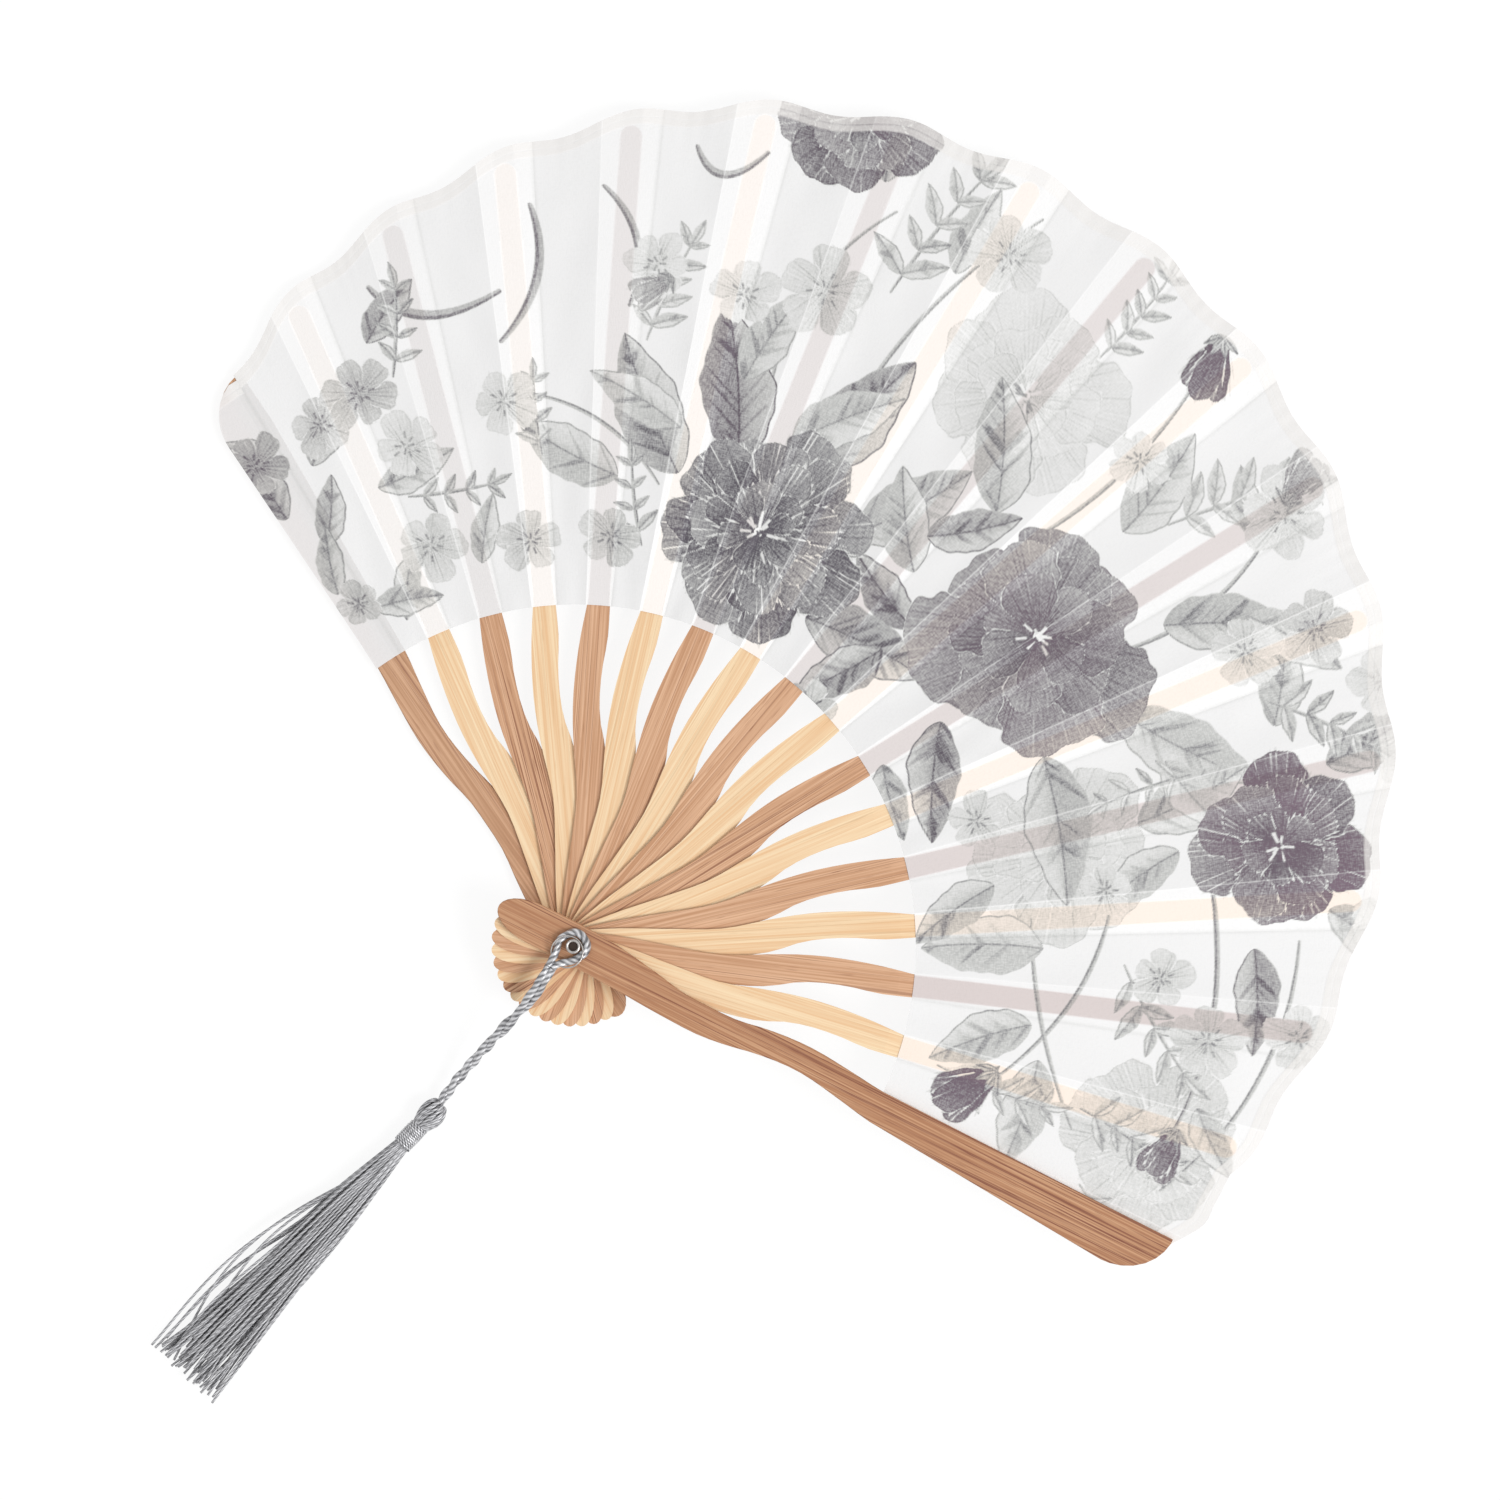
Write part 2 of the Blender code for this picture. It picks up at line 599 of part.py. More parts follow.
def tassel_skirt():
    """The hanging threads, which spread from a collar under the binding and end ragged."""
    top = -TASSEL_HEAD_LENGTH - BINDING_LENGTH - CLEARANCE
    bpy.ops.mesh.primitive_cylinder_add(
        vertices=TASSEL_SIDES,
        radius=COLLAR_RADIUS,
        depth=COLLAR_THICKNESS,
    )
    collar = bpy.context.object
    collar.data.transform(Matrix.Translation((0.0, 0.0, top - COLLAR_THICKNESS / 2)))
    for group in list(collar.users_collection):
        group.objects.unlink(collar)
    FAN.objects.link(collar)
    collar.name = collar.data.name = "tassel_skirt"
    collar.location = TASSEL_PLACE
    collar.rotation_euler = TASSEL_TURN
    collar.data.materials.append(THREAD)

    share, across, upwards, height = np.array(SKIRT_SHARES).T
    golden = math.pi * (3 - math.sqrt(5))
    lengths = np.random.default_rng(7).uniform(0.93, 1.0, STRANDS)
    strands = bmesh.new()
    for k in range(STRANDS):
        spot = math.sqrt((k + 0.5) / STRANDS)
        a, b = spot * math.cos(k * golden), spot * math.sin(k * golden)
        middle = np.stack(
            [
                a * across * SKIRT_WIDEST,
                -b * upwards * SKIRT_WIDEST + (1 - height) * TASSEL_HEIGHT,
                top - COLLAR_THICKNESS / 2 - share * lengths[k] * SKIRT_LENGTH,
            ],
            axis=1,
        )
        corner_angles = np.arange(STRAND_SIDES) * 2 * math.pi / STRAND_SIDES
        rim = STRAND_RADIUS * np.stack([np.cos(corner_angles), np.sin(corner_angles), 0 * corner_angles], axis=1)
        piece = loft("strand", middle[:, None] + rim[None])
        strands.from_mesh(piece)
        bpy.data.meshes.remove(piece)
    mesh = bpy.data.meshes.new("skirt_strands")
    strands.to_mesh(mesh)
    strands.free()
    guide = add("skirt_strands", mesh, None, TASSEL_PLACE, TASSEL_TURN, CUTTERS)
    guide.hide_render = True
    guide.display_type = "WIRE"
    join = collar.modifiers.new("strands", "BOOLEAN")
    join.object = guide
    join.operation = "UNION"


tassel_head()
tassel_binding()
tassel_skirt()
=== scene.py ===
"""A folding fan, opened: bamboo sticks, a pleated leaf of printed satin, and a tassel on a twisted cord.

Metres, +Z up. The sticks turn about Z at the origin, and the leaf opens towards +Y.
"""

from math import atan2, cos, pi, radians, sin, sqrt

import bpy
import numpy as np
from numpy.random import default_rng
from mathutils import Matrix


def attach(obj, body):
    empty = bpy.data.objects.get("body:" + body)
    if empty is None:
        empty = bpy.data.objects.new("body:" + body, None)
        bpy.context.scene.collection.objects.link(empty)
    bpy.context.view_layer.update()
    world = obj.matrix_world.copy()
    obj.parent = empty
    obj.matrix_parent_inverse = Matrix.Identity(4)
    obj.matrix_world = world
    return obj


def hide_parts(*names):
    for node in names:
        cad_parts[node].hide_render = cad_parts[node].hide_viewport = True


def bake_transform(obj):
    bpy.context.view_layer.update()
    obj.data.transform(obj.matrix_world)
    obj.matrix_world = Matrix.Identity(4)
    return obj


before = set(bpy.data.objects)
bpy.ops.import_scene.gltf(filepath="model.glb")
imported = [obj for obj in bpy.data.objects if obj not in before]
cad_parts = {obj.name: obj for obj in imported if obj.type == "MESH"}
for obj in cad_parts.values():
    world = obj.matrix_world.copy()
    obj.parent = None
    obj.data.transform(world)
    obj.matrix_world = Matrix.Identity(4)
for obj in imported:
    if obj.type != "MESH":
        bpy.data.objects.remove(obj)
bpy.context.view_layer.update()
MM = 0.001
TURN = 2 * pi
UP = np.array([0, 0, 1.0])
scene = bpy.context.scene

# Camera
# It looks straight down on the fan, turned so that the tassel lies towards the lower left.
VIEW_PLACE = (-0.0004, 0.0739, 1.6193)
VIEW_TURN = radians(42.3)


def place_object(name, data):
    made = bpy.data.objects.new(name, data)
    scene.collection.objects.link(made)
    return made


lens = bpy.data.cameras.new("camera")
lens.sensor_width = 36.0
lens.lens = 137.14
lens.clip_end = 10.0
camera = place_object("camera", lens)
camera.location = VIEW_PLACE
camera.rotation_euler = (0.0, 0.0, VIEW_TURN)
scene.camera = camera
scene.view_settings.view_transform = "Standard"


# Floor and light
# White paper under soft daylight, with a wide lamp from the front guard's side, so that the free folds of the
# leaf lie in a little shade.
FLOOR_LEVEL = -0.2 * MM
# The paper's tone, how much darker it is where it is seen, and its glow there
PAPER_TONE, PAPER_DARKER, PAPER_GLOW = 0.8, 0.67, 0.885
LAMP_AIM = 0.08
LAMP_TURN = radians(15)
LAMP_TILT = radians(50)
LAMP_DISTANCE = 4.0
LAMP_SIZE = 1.9
LAMP_POWER = 90.0
SKY = 0.62


class Wire:
    """One output in a material. Arithmetic on it adds Math nodes, and node() adds any other node."""

    def __init__(self, tree, socket=None):
        self.tree, self.socket = tree, socket

    def plug(self, node, sockets):
        for key, value in sockets.items():
            if isinstance(value, Wire):
                self.tree.links.new(value.socket, node.inputs[key])
            else:
                node.inputs[key].default_value = value

    def node(self, kind, sockets, output=0, **settings):
        made = self.tree.nodes.new("ShaderNode" + kind)
        for key, value in settings.items():
            setattr(made, key, value)
        self.plug(made, sockets)
        return Wire(self.tree, made.outputs[output])

    def coat(self, sockets):
        """Sets sockets of the material's surface shader."""
        self.plug(self.tree.nodes["Principled BSDF"], sockets)

    def math(self, operation, *values):
        return self.node("Math", dict(enumerate(values)), operation=operation)

    def mix(self, share, other, **settings):
        """This colour turned towards another by a share."""
        return self.node("Mix", {0: share, 6: self, 7: (*other, 1.0)}, output=2, data_type="RGBA", **settings)

    def ramp(self, *stops):
        """The colour that this value picks between stops, each of them a value and a colour."""
        made = self.node("ValToRGB", {0: self})
        elements = made.socket.node.color_ramp.elements
        for place, _ in stops[1:-1]:
            elements.new(place)
        for element, (place, colour) in zip(elements, stops):
            element.position, element.color = place, (*colour, 1.0)
        return made

    def noise(self, other, detail, scale=1.0):
        """Noise over this value and another."""
        place = self.node("CombineXYZ", {0: self, 1: other})
        return self.node("TexNoise", {0: place, "Scale": scale, "Detail": detail})

    def bump(self, strength, distance):
        """The normal of a surface that rises by this value times a distance in millimetres."""
        return self.node("Bump", {"Height": self, "Strength": strength, "Distance": distance * MM})

    def held(self):
        """The value kept between 0 and 1."""
        return self.node("Math", {0: self, 1: 0.0}, operation="ADD", use_clamp=True)

    def __add__(self, other):
        return self.math("ADD", self, other)

    __radd__ = __add__

    def __sub__(self, other):
        return self.math("SUBTRACT", self, other)

    def __rsub__(self, other):
        return self.math("SUBTRACT", other, self)

    def __mul__(self, other):
        return self.math("MULTIPLY", self, other)

    __rmul__ = __mul__


def new_finish(name, coordinates="Object"):
    """A new material, and the wire of its coordinates."""
    made = bpy.data.materials.new(name)
    made.use_nodes = True
    return made, Wire(made.node_tree).node("TexCoord", {}, output=coordinates)


def seen_rays(at):
    """1 for rays that show a thing, straight or by way of a glossy or clear surface, and 0 for others."""
    straight, glossy, through = (
        at.node("LightPath", {}, output=f"Is {kind} Ray") for kind in ("Camera", "Glossy", "Transmission")
    )
    return (straight + glossy + through).held()


corners = [(x, y, FLOOR_LEVEL) for x, y in ((-2, -2), (2, -2), (2, 2), (-2, 2))]
paper = bpy.data.meshes.new("floor")
paper.from_pydata(corners, [], [(0, 1, 2, 3)])
floor = place_object("floor", paper)
made, at = new_finish("white_paper")
seen = seen_rays(at)
grain = at.node("TexNoise", {"Vector": at, "Scale": 900.0, "Detail": 3.0})
tone = PAPER_TONE - PAPER_DARKER * seen + 0.02 * grain
at.coat({"Base Color": tone, "Roughness": 0.9, "Specular IOR Level": 0.1})
at.coat({"Emission Color": PAPER_GLOW * seen, "Emission Strength": 1.0})
paper.materials.append(made)

sky = bpy.data.worlds.new("sky")
sky.use_nodes = True
scene.world = sky
air = Wire(sky.node_tree)
backdrop = sky.node_tree.nodes["Background"]
air.plug(backdrop, {"Color": (1, 1, 1, 1), "Strength": SKY + (1.0 - SKY) * seen_rays(air)})

lamp = bpy.data.lights.new("lamp", "AREA")
lamp.shape = "DISK"
lamp.size = LAMP_SIZE
lamp.energy = LAMP_POWER
light = place_object("lamp", lamp)
away, above = LAMP_DISTANCE * cos(LAMP_TILT), LAMP_DISTANCE * sin(LAMP_TILT)
light.location = (away * cos(LAMP_TURN), LAMP_AIM + away * sin(LAMP_TURN), above)
light.rotation_euler = (0.0, pi / 2 - LAMP_TILT, LAMP_TURN)


# Tassel cord
# A fine cord of three grey plies, doubled and twisted round itself. It slopes down from the rivet over the
# sticks' round ends to the tassel on the table.
CORD_POINTS = 420
CORD_ROUTE = (
    (-0.0008, -0.0087, 0.0209), (0.0, -0.0125, 0.0206), (0.0008, -0.017, 0.0194), (0.0012, -0.0225, 0.0172),
    (0.0011, -0.029, 0.014), (0.0009, -0.036, 0.0106), (0.0009, -0.043, 0.0078), (0.0011, -0.05, 0.0056),
    (0.0015, -0.0552, 0.0045), (0.002, -0.0592, 0.0041),
)
STRAND_RADIUS = 0.98 * MM
STRAND_OFFSET = 0.55 * MM
# Along the cord: the strands' turns round each other, and their spread
STRAND_TURNS = ((0, 0.012, 0.022, 0.034, 0.056), (0.0, 0.12, 0.42, 1.2, 3.0))
STRAND_SPREAD = ((0, 0.004, 0.01, 0.02, 0.026, 0.0565), (1.3, 1.3, 1.75, 1.5, 1.0, 0.8))
PLIES = 3
PLY_PITCH = 6.0 * MM
PLY_DEPTH = 0.14


def smooth_through(knots, values, at):
    """A smooth curve through the values at the knots, read at the given places."""
    knots, values, at = (np.asarray(x, float) for x in (knots, values, at))
    slope = np.gradient(values, knots)
    i = np.clip(np.searchsorted(knots, at, side="right") - 1, 0, len(knots) - 2)
    span = knots[i + 1] - knots[i]
    t = (at - knots[i]) / span
    start = (1 + 2 * t) * (1 - t) ** 2 * values[i] + t * (1 - t) ** 2 * span * slope[i]
    return start + t * t * (3 - 2 * t) * values[i + 1] + t * t * (t - 1) * span * slope[i + 1]


def run_along(points):
    """The distance along a line of points, on the last axis but one."""
    steps = np.linalg.norm(np.diff(points, axis=-2), axis=-1)
    return np.concatenate([np.zeros_like(steps[..., :1]), np.cumsum(steps, axis=-1)], axis=-1)


def smooth_line(points, count):
    """Evenly spread points on a smooth line through the given ones."""
    points = np.asarray(points, float)
    run = run_along(points)
    at = np.linspace(0, run[-1], count)
    return np.stack([smooth_through(run, points[:, k], at) for k in range(3)], axis=-1)


def frames(line, upright):
    """Two directions across a line at each of its points: the one nearest to upright, and the one beside it."""
    ahead = np.gradient(line, axis=-2)
    ahead /= np.linalg.norm(ahead, axis=-1, keepdims=True)
    rise = upright - (upright * ahead).sum(-1, keepdims=True) * ahead
    rise /= np.linalg.norm(rise, axis=-1, keepdims=True)
    return rise, np.cross(ahead, rise)


def tube(line, radius, sides, upright=UP, lobes=0, depth=0.0, pitch=1.0):
    """Points of a tube along a line, of one radius or one for each point. At an angle a round it, its radius is
    1 + depth * cos(lobes * a - turn) times as large, and the turn grows by a full turn in each pitch."""
    rise, beside = frames(line, upright)
    around = np.arange(sides) * TURN / sides
    turn = run_along(line)[..., None] * TURN / pitch
    swell = np.asarray(radius)[..., None] * (1 + depth * np.cos(lobes * around - turn))
    return line[..., None, :] + swell[..., None] * (
        np.cos(around)[:, None] * rise[..., None, :] + np.sin(around)[:, None] * beside[..., None, :]
    )


def strand(line, radius):
    """Points of one strand of the cord, with its plies twisted along it."""
    return tube(line, radius, 18, lobes=PLIES, depth=PLY_DEPTH, pitch=PLY_PITCH)


def new_mesh(name, points, faces, uv, finish):
    """A smooth-shaded mesh with a UV map given face corner by face corner."""
    mesh = bpy.data.meshes.new(name)
    mesh.from_pydata(points, [], faces)
    mesh.uv_layers.new(name="UVMap").data.foreach_set("uv", np.asarray(uv, np.float32).ravel())
    mesh.shade_smooth()
    mesh.materials.append(finish)
    return mesh


def tubes(name, grids, finish, closed=False):
    """One piece of many tubes. A grid holds like tubes by tube, ring and corner. On the UV map, U runs once
    round a tube, from the tube's number, and V is the distance along it in millimetres."""
    points, faces, uv, first = [], [], [], 0
    for grid in grids:
        count, rings, sides = grid.shape[:3]
        here = first + np.arange(count * rings * sides).reshape(count, rings, sides)
        first += here.size
        run = run_along(grid.mean(axis=2)) / MM
        if closed:
            here = np.concatenate([here, here[:, :1]], axis=1)
            run = np.concatenate([run, 2 * run[:, -1:] - run[:, -2:-1]], axis=1)
        beside = np.roll(here, -1, axis=2)
        quads = [here[:, :-1], beside[:, :-1], beside[:, 1:], here[:, 1:]]
        u = np.arange(sides) / sides + np.zeros(quads[0].shape) + np.arange(count)[:, None, None]
        v, w = (np.broadcast_to(x[..., None], u.shape) for x in (run[:, :-1], run[:, 1:]))
        u_next = u + 1 / sides
        corner_uv = np.stack([u, v, u_next, v, u_next, w, u, w], axis=-1)
        points.append(grid.reshape(-1, 3))
        faces += np.stack(quads, axis=-1).reshape(-1, 4).tolist()
        uv.append(corner_uv.reshape(-1, 2))
        if not closed:
            caps = np.concatenate([here[:, 0, ::-1], here[:, -1]]).tolist()
            faces += caps
            uv.append(np.full((len(caps) * sides, 2), 0.5))
    mesh = new_mesh(name, np.concatenate(points), faces, np.concatenate(uv), finish)
    return place_object(name, mesh)


def yarn_finish(name, deep, pale, plies, pitch, roughness, metallic=0.25):
    """Glossy twisted yarn: plies laid round it, and finer fibres within them. Its crests are painted lighter and
    its grooves darker, a painted highlight and painted shade, so deep and pale span light and shade as well as
    tone.
    """
    made, at = new_finish(name, "UV")
    u, v = (at.node("SeparateXYZ", {0: at}, output=k) for k in (0, 1))
    lay = plies * u - v * (1 / pitch)
    ply = 0.5 + 0.5 * at.math("COSINE", lay * TURN)
    fibre = (lay * 5.0).noise(v * 0.35, 3.0)
    drift = u.noise(v * 0.06, 2.0, 1.3)
    # Painted highlight on the plies' crests and painted shade in their grooves, over the fibres' and the drift's
    # own tone
    painted_crest_light_and_tone = (1.7 * (0.45 * ply + 0.55 * fibre) + 1.3 * drift - 1.05).held()
    at.coat({"Base Color": painted_crest_light_and_tone.ramp((0.0, deep), (1.0, pale)), "Roughness": roughness + 0.2 * fibre})
    bump = (0.6 * ply + 0.4 * fibre).bump(0.8, 0.06)
    at.coat({"Metallic": metallic, "Sheen Weight": 0.15, "Normal": bump})
    return made


pitch = PLY_PITCH / PLIES / MM
strand_yarn = yarn_finish("silver_cord_yarn", (0.13, 0.13, 0.14), (0.8, 0.8, 0.82), PLIES, pitch, 0.24)
middle = smooth_line(CORD_ROUTE, CORD_POINTS)
run = run_along(middle)
turns = smooth_through(*STRAND_TURNS, run)
upward, sideways = frames(middle, UP)
reach = STRAND_OFFSET * np.interp(run, *STRAND_SPREAD)
strands = []
for half in (0.0, pi):
    across = (np.cos(turns * TURN + half) * reach)[:, None] * sideways
    lift = (np.sin(turns * TURN + half) * reach)[:, None] * upward
    strands.append(strand(middle + across + lift, STRAND_RADIUS))
cord = tubes("twisted_tassel_cord", [np.stack(strands)], strand_yarn)
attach(cord, "tassel")
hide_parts("tassel_cord")


# Cord eye
# The doubled cord's bight, laid round the rivet's neck on the front guard. Its middle line is in millimetres, and
# its radius is given at shares of the way round.
EYE_LINE = (
    (-1.41, -8.83, 20.9), (-1.72, -7.3, 20.75), (-2.35, -5.2, 20.5), (-3.15, -3.2, 20.35), (-3.95, -1.2, 20.3),
    (-3.65, 1.05, 20.3), (-2.26, 3.1, 20.3), (-0.1, 3.85, 20.3), (2.06, 3.25, 20.3), (3.4, 1.12, 20.3),
    (3.35, -1.42, 20.3), (2.15, -3.6, 20.35), (0.88, -5.5, 20.5), (0.05, -7.3, 20.75), (-0.19, -8.57, 20.9),
)
EYE_RADII = ((0, 0.25, 0.45, 0.7, 0.85, 1), (0.95, 0.98, 1.1, 1.12, 0.98, 0.95))
EYE_POINTS = 260

line = smooth_line(np.array(EYE_LINE) * MM, EYE_POINTS)
radii = np.interp(np.linspace(0, 1, EYE_POINTS), *EYE_RADII) * MM
eye = tubes("cord_eye", [strand(line, radii)[None]], strand_yarn)
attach(eye, "tassel")
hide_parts("cord_noose")


# Wire ring
# A ring of fine nickelled wire under the rivet's rim. It lies over the cord's eye, and under its two legs.
WIRE_RADIUS = 4.45 * MM
WIRE_CENTRE = (-0.261 * MM, -2.26 * MM)
WIRE_LEVEL = 21.75 * MM
WIRE_DIP = 1.95 * MM
WIRE_DIP_AT = radians(266)
WIRE_DIP_WIDTH = radians(52)
WIRE_POINTS = 144
WIRE_HALF_THICKNESS = 0.225 * MM
# The rivet's bore, in millimetres
BORE_RADIUS = 1.36
BORE_FLOOR = 15.0


def held(value):
    """The values kept between 0 and 1."""
    return np.clip(value, 0, 1)


def stepped(place, turn, far):
    """The place that lies so far away in a direction."""
    return place[0] + far * np.cos(turn), place[1] + far * np.sin(turn)


def nickel_finish(name):
    """Nickelled steel with fine drawing marks, darker and rougher inside the rivet's bore."""
    made, at = new_finish(name)
    flat = at.node("VectorMath", {0: at, 1: (1, 1, 0)}, operation="MULTIPLY")
    radius = at.node("VectorMath", {0: flat}, output="Value", operation="LENGTH") * (1 / MM)
    height = at.node("SeparateXYZ", {0: at}, output=2) * (1 / MM)
    bore = (12.0 * (BORE_RADIUS - radius)).held() * (height - BORE_FLOOR).held()
    marks = at.node("TexNoise", {"Vector": at, "Scale": 2600.0, "Detail": 4.0})
    rings = (radius * 9.0).noise(height * 4.0, 2.0)
    tone = marks.ramp((0.3, (0.32, 0.3, 0.29)), (0.7, (0.56, 0.54, 0.52))).mix(bore * 0.85, (0.34, 0.26, 0.22))
    at.coat({"Base Color": tone, "Metallic": 1.0 - 0.6 * bore, "Normal": (marks + rings).bump(0.3, 0.02)})
    at.coat({"Roughness": 0.22 + 0.14 * marks + 0.3 * bore})
    return made


nickel = nickel_finish("nickelled_steel")
angle = np.linspace(0, TURN, WIRE_POINTS, endpoint=False)
away = (angle - WIRE_DIP_AT + pi) % TURN - pi
dip = WIRE_DIP * held(1.25 - np.abs(away) / WIRE_DIP_WIDTH) ** 0.8
dip = np.convolve(np.concatenate([dip[-9:], dip, dip[:9]]), np.full(19, 1 / 19), "valid")
line = np.stack([*stepped(WIRE_CENTRE, angle, WIRE_RADIUS), WIRE_LEVEL - dip], axis=-1)
ends = np.concatenate([line[-1:], line, line[:1]])
ring = tubes("wire_ring_of_nickel", [tube(ends, WIRE_HALF_THICKNESS, 10)[None, 1:-1]], nickel, closed=True)
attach(ring, "tassel")
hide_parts("wire_ring")

# Rivet
# A tubular rivet of the same steel, with its end rolled over into a rim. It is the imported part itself.
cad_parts["pivot_rivet"].material_slots[0].material = nickel


# Tassel head
# Grey yarn folded over the cord's end and bound below: the folds stand up in loops round the cord.
TASSEL_PLACE = (2.3 * MM, -59.6 * MM, 4.0 * MM)
TASSEL_LEAN = radians(1.55)
HEAD_THREADS = 27
HEAD_THREAD_RADIUS = 0.43 * MM
# Distance from the tassel's middle and depth below its top, in millimetres
FOLD_OVER = (
    (0.9, 2.2), (1.25, 0.5), (2, -0.15), (2.95, 0.65), (3.45, 2.4), (3.4, 4.3), (2.75, 6.3), (2.1, 8), (1.75, 10),
)
HEAD_CORE = ((0.0, 1.3), (1.6, 1.0), (2.7, 1.9), (3.05, 3.6), (2.6, 5.8), (1.95, 8.0), (1.9, 15.3), (0.0, 15.4))


def laid(across, up, along):
    """Points of the tassel as it lies: across to +X, up, and along it away from the rivet."""
    ahead = np.array([-sin(TASSEL_LEAN), -cos(TASSEL_LEAN), 0.0])
    beside = np.array([cos(TASSEL_LEAN), -sin(TASSEL_LEAN), 0.0])
    across, up, along = (np.asarray(x, float)[..., None] for x in np.broadcast_arrays(across, up, along))
    return np.array(TASSEL_PLACE) + across * beside + up * UP + along * ahead


chance = default_rng(11)
each = (HEAD_THREADS, 1)
fold_run = run_along(np.array(FOLD_OVER))
at_run = np.linspace(0, fold_run[-1], 44)
out, down = (smooth_through(fold_run, part, at_run) for part in np.array(FOLD_OVER).T)
top = held(1 - at_run / 7.5)
loop = chance.uniform(-0.35, 0.75, each) * np.sin(pi * held(at_run / 6.5)) ** 2
wide = chance.uniform(-0.22, 0.12, each) * np.sin(pi * held(at_run / 13))
round_it = (np.arange(HEAD_THREADS)[:, None] + chance.uniform(-0.25, 0.25, each)) * TURN / HEAD_THREADS
round_it = round_it + 0.5 * top * chance.uniform(-1, 1, each) + 0.25 * at_run / at_run[-1]
out = (out + wide) * MM
threads = laid(out * np.cos(round_it), out * np.sin(round_it), (down - loop) * MM)
facing = laid(-np.sin(round_it), np.cos(round_it), 0.0) - laid(0.0, 0.0, 0.0)
head_grid = tube(threads, HEAD_THREAD_RADIUS, 10, facing)
core = np.array(HEAD_CORE) * MM
around = np.arange(20) * TURN / 20
core_grid = laid(core[:, :1] * np.sin(around), core[:, :1] * np.cos(around), core[:, 1:])
skirt_yarn = yarn_finish("grey_tassel_yarn", (0.2, 0.2, 0.21), (0.68, 0.68, 0.7), 3, 2.2, 0.34)
head_yarn = yarn_finish("grey_head_yarn", (0.15, 0.15, 0.16), (0.74, 0.74, 0.76), 3, 2.0, 0.28)
head = tubes("folded_tassel_head", [head_grid, core_grid[None]], head_yarn)
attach(head, "tassel")
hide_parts("tassel_head")

# Tassel binding
# Fine silvery thread wound tightly round the neck, in one coil.
BINDING_TURNS = 11
BINDING_THREAD_RADIUS = 0.34 * MM
# In millimetres
BINDING_RADIUS = 2.52
BINDING_TOP = 8.05
BINDING_LENGTH = 7.2

angle = np.linspace(0, BINDING_TURNS * TURN, BINDING_TURNS * 30)
chance = default_rng(5)
sway = np.interp(angle, np.linspace(0, angle[-1], 60), chance.uniform(-0.05, 0.05, 60)) * MM
radius = (BINDING_RADIUS + 0.12 * np.sin(np.linspace(0, pi, len(angle)))) * MM + sway
depth = (BINDING_TOP + BINDING_LENGTH * angle / angle[-1]) * MM + 0.6 * sway
line = laid(radius * np.cos(angle), radius * np.sin(angle), depth)
axis_way = laid(0.0, 0.0, 1.0) - laid(0.0, 0.0, 0.0)
silver_thread = yarn_finish("silver_binding_thread", (0.14, 0.14, 0.15), (0.88, 0.88, 0.9), 2, 1.1, 0.22, 0.4)
coil = tube(line, BINDING_THREAD_RADIUS, 8, axis_way)
binding = tubes("wound_tassel_binding", [coil[None]], silver_thread)
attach(binding, "tassel")
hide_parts("tassel_binding")

# Tassel skirt
# The yarn's loose ends, lying on the table: they spread from the binding, and a few bow out on one side.
SKIRT_TOP = 15.0 * MM
SKIRT_LENGTH = 87 * MM
SKIRT_WIDEST = 10.5 * MM
SKIRT_THREADS = 118
SKIRT_THREAD_RADIUS = 0.39 * MM
SKIRT_SHARES = (
    (0.0, 0.2, 0.2, 1.0), (0.08, 0.29, 0.24, 0.97), (0.22, 0.44, 0.29, 0.93),
    (0.55, 0.68, 0.3, 0.86), (1.0, 0.98, 0.26, 0.74),
)
# The share of its length at which each stray leaves, how far it bows out, and how far back it ends
STRAYS = ((0.2, 5.4, 3.0), (0.24, 4.3, -1.0), (0.3, 3.2, 4.4), (0.38, 2.4, 0.5), (0.48, 1.6, 1.5))

chance = default_rng(17)
share = np.linspace(0, 1, 60)
knots = np.array(SKIRT_SHARES).T
half_wide, half_high, height = (smooth_through(knots[0], knots[k], share) for k in (1, 2, 3))
order = np.arange(SKIRT_THREADS)[:, None]
spot = np.sqrt((order + 0.5) / SKIRT_THREADS)
golden = order * pi * (3 - sqrt(5))
left_right, low_high = spot * np.cos(golden), spot * np.sin(golden)
left_right = left_right - 0.03 * np.sin(4.5 * TURN * left_right)
bend = chance.uniform(-1, 1, (SKIRT_THREADS, 4))[:, :, None] * np.array([0.22, 0.09, 0.09, 0.05])[:, None]
waves = bend[:, 0] * share**2 + bend[:, 1] * np.sin(pi * share) + bend[:, 2] * np.sin(TURN * share)
waves = waves + bend[:, 3] * np.sin(3 * pi * share)
across = (left_right * half_wide + waves * (0.25 + share)) * SKIRT_WIDEST
up = (-low_high * half_high + 0.5 * waves[::-1] * half_high) * SKIRT_WIDEST + (height - 1) * TASSEL_PLACE[2]
length = (SKIRT_LENGTH + (3.5 - 13 * chance.uniform(0, 1, (SKIRT_THREADS, 1)) ** 1.2) * MM) * share
strays = np.argsort(left_right[:, 0])[: len(STRAYS)]
start, far, back = np.array(STRAYS).T[:, :, None]
bowed = held((share - start) / (1 - start))
across[strays] -= far * MM * np.sin(pi * bowed**0.9) ** 1.2
across[strays] += back * MM * bowed**3
up[strays] = np.clip(up[strays], -1.6 * MM, 0.5 * MM)
up = np.maximum(up, 0.42 * MM - TASSEL_PLACE[2])
line = laid(across, up, SKIRT_TOP + length)
skirt = tubes("loose_tassel_skirt", [tube(line, SKIRT_THREAD_RADIUS, 6)], skirt_yarn)
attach(skirt, "tassel")
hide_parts("tassel_skirt")


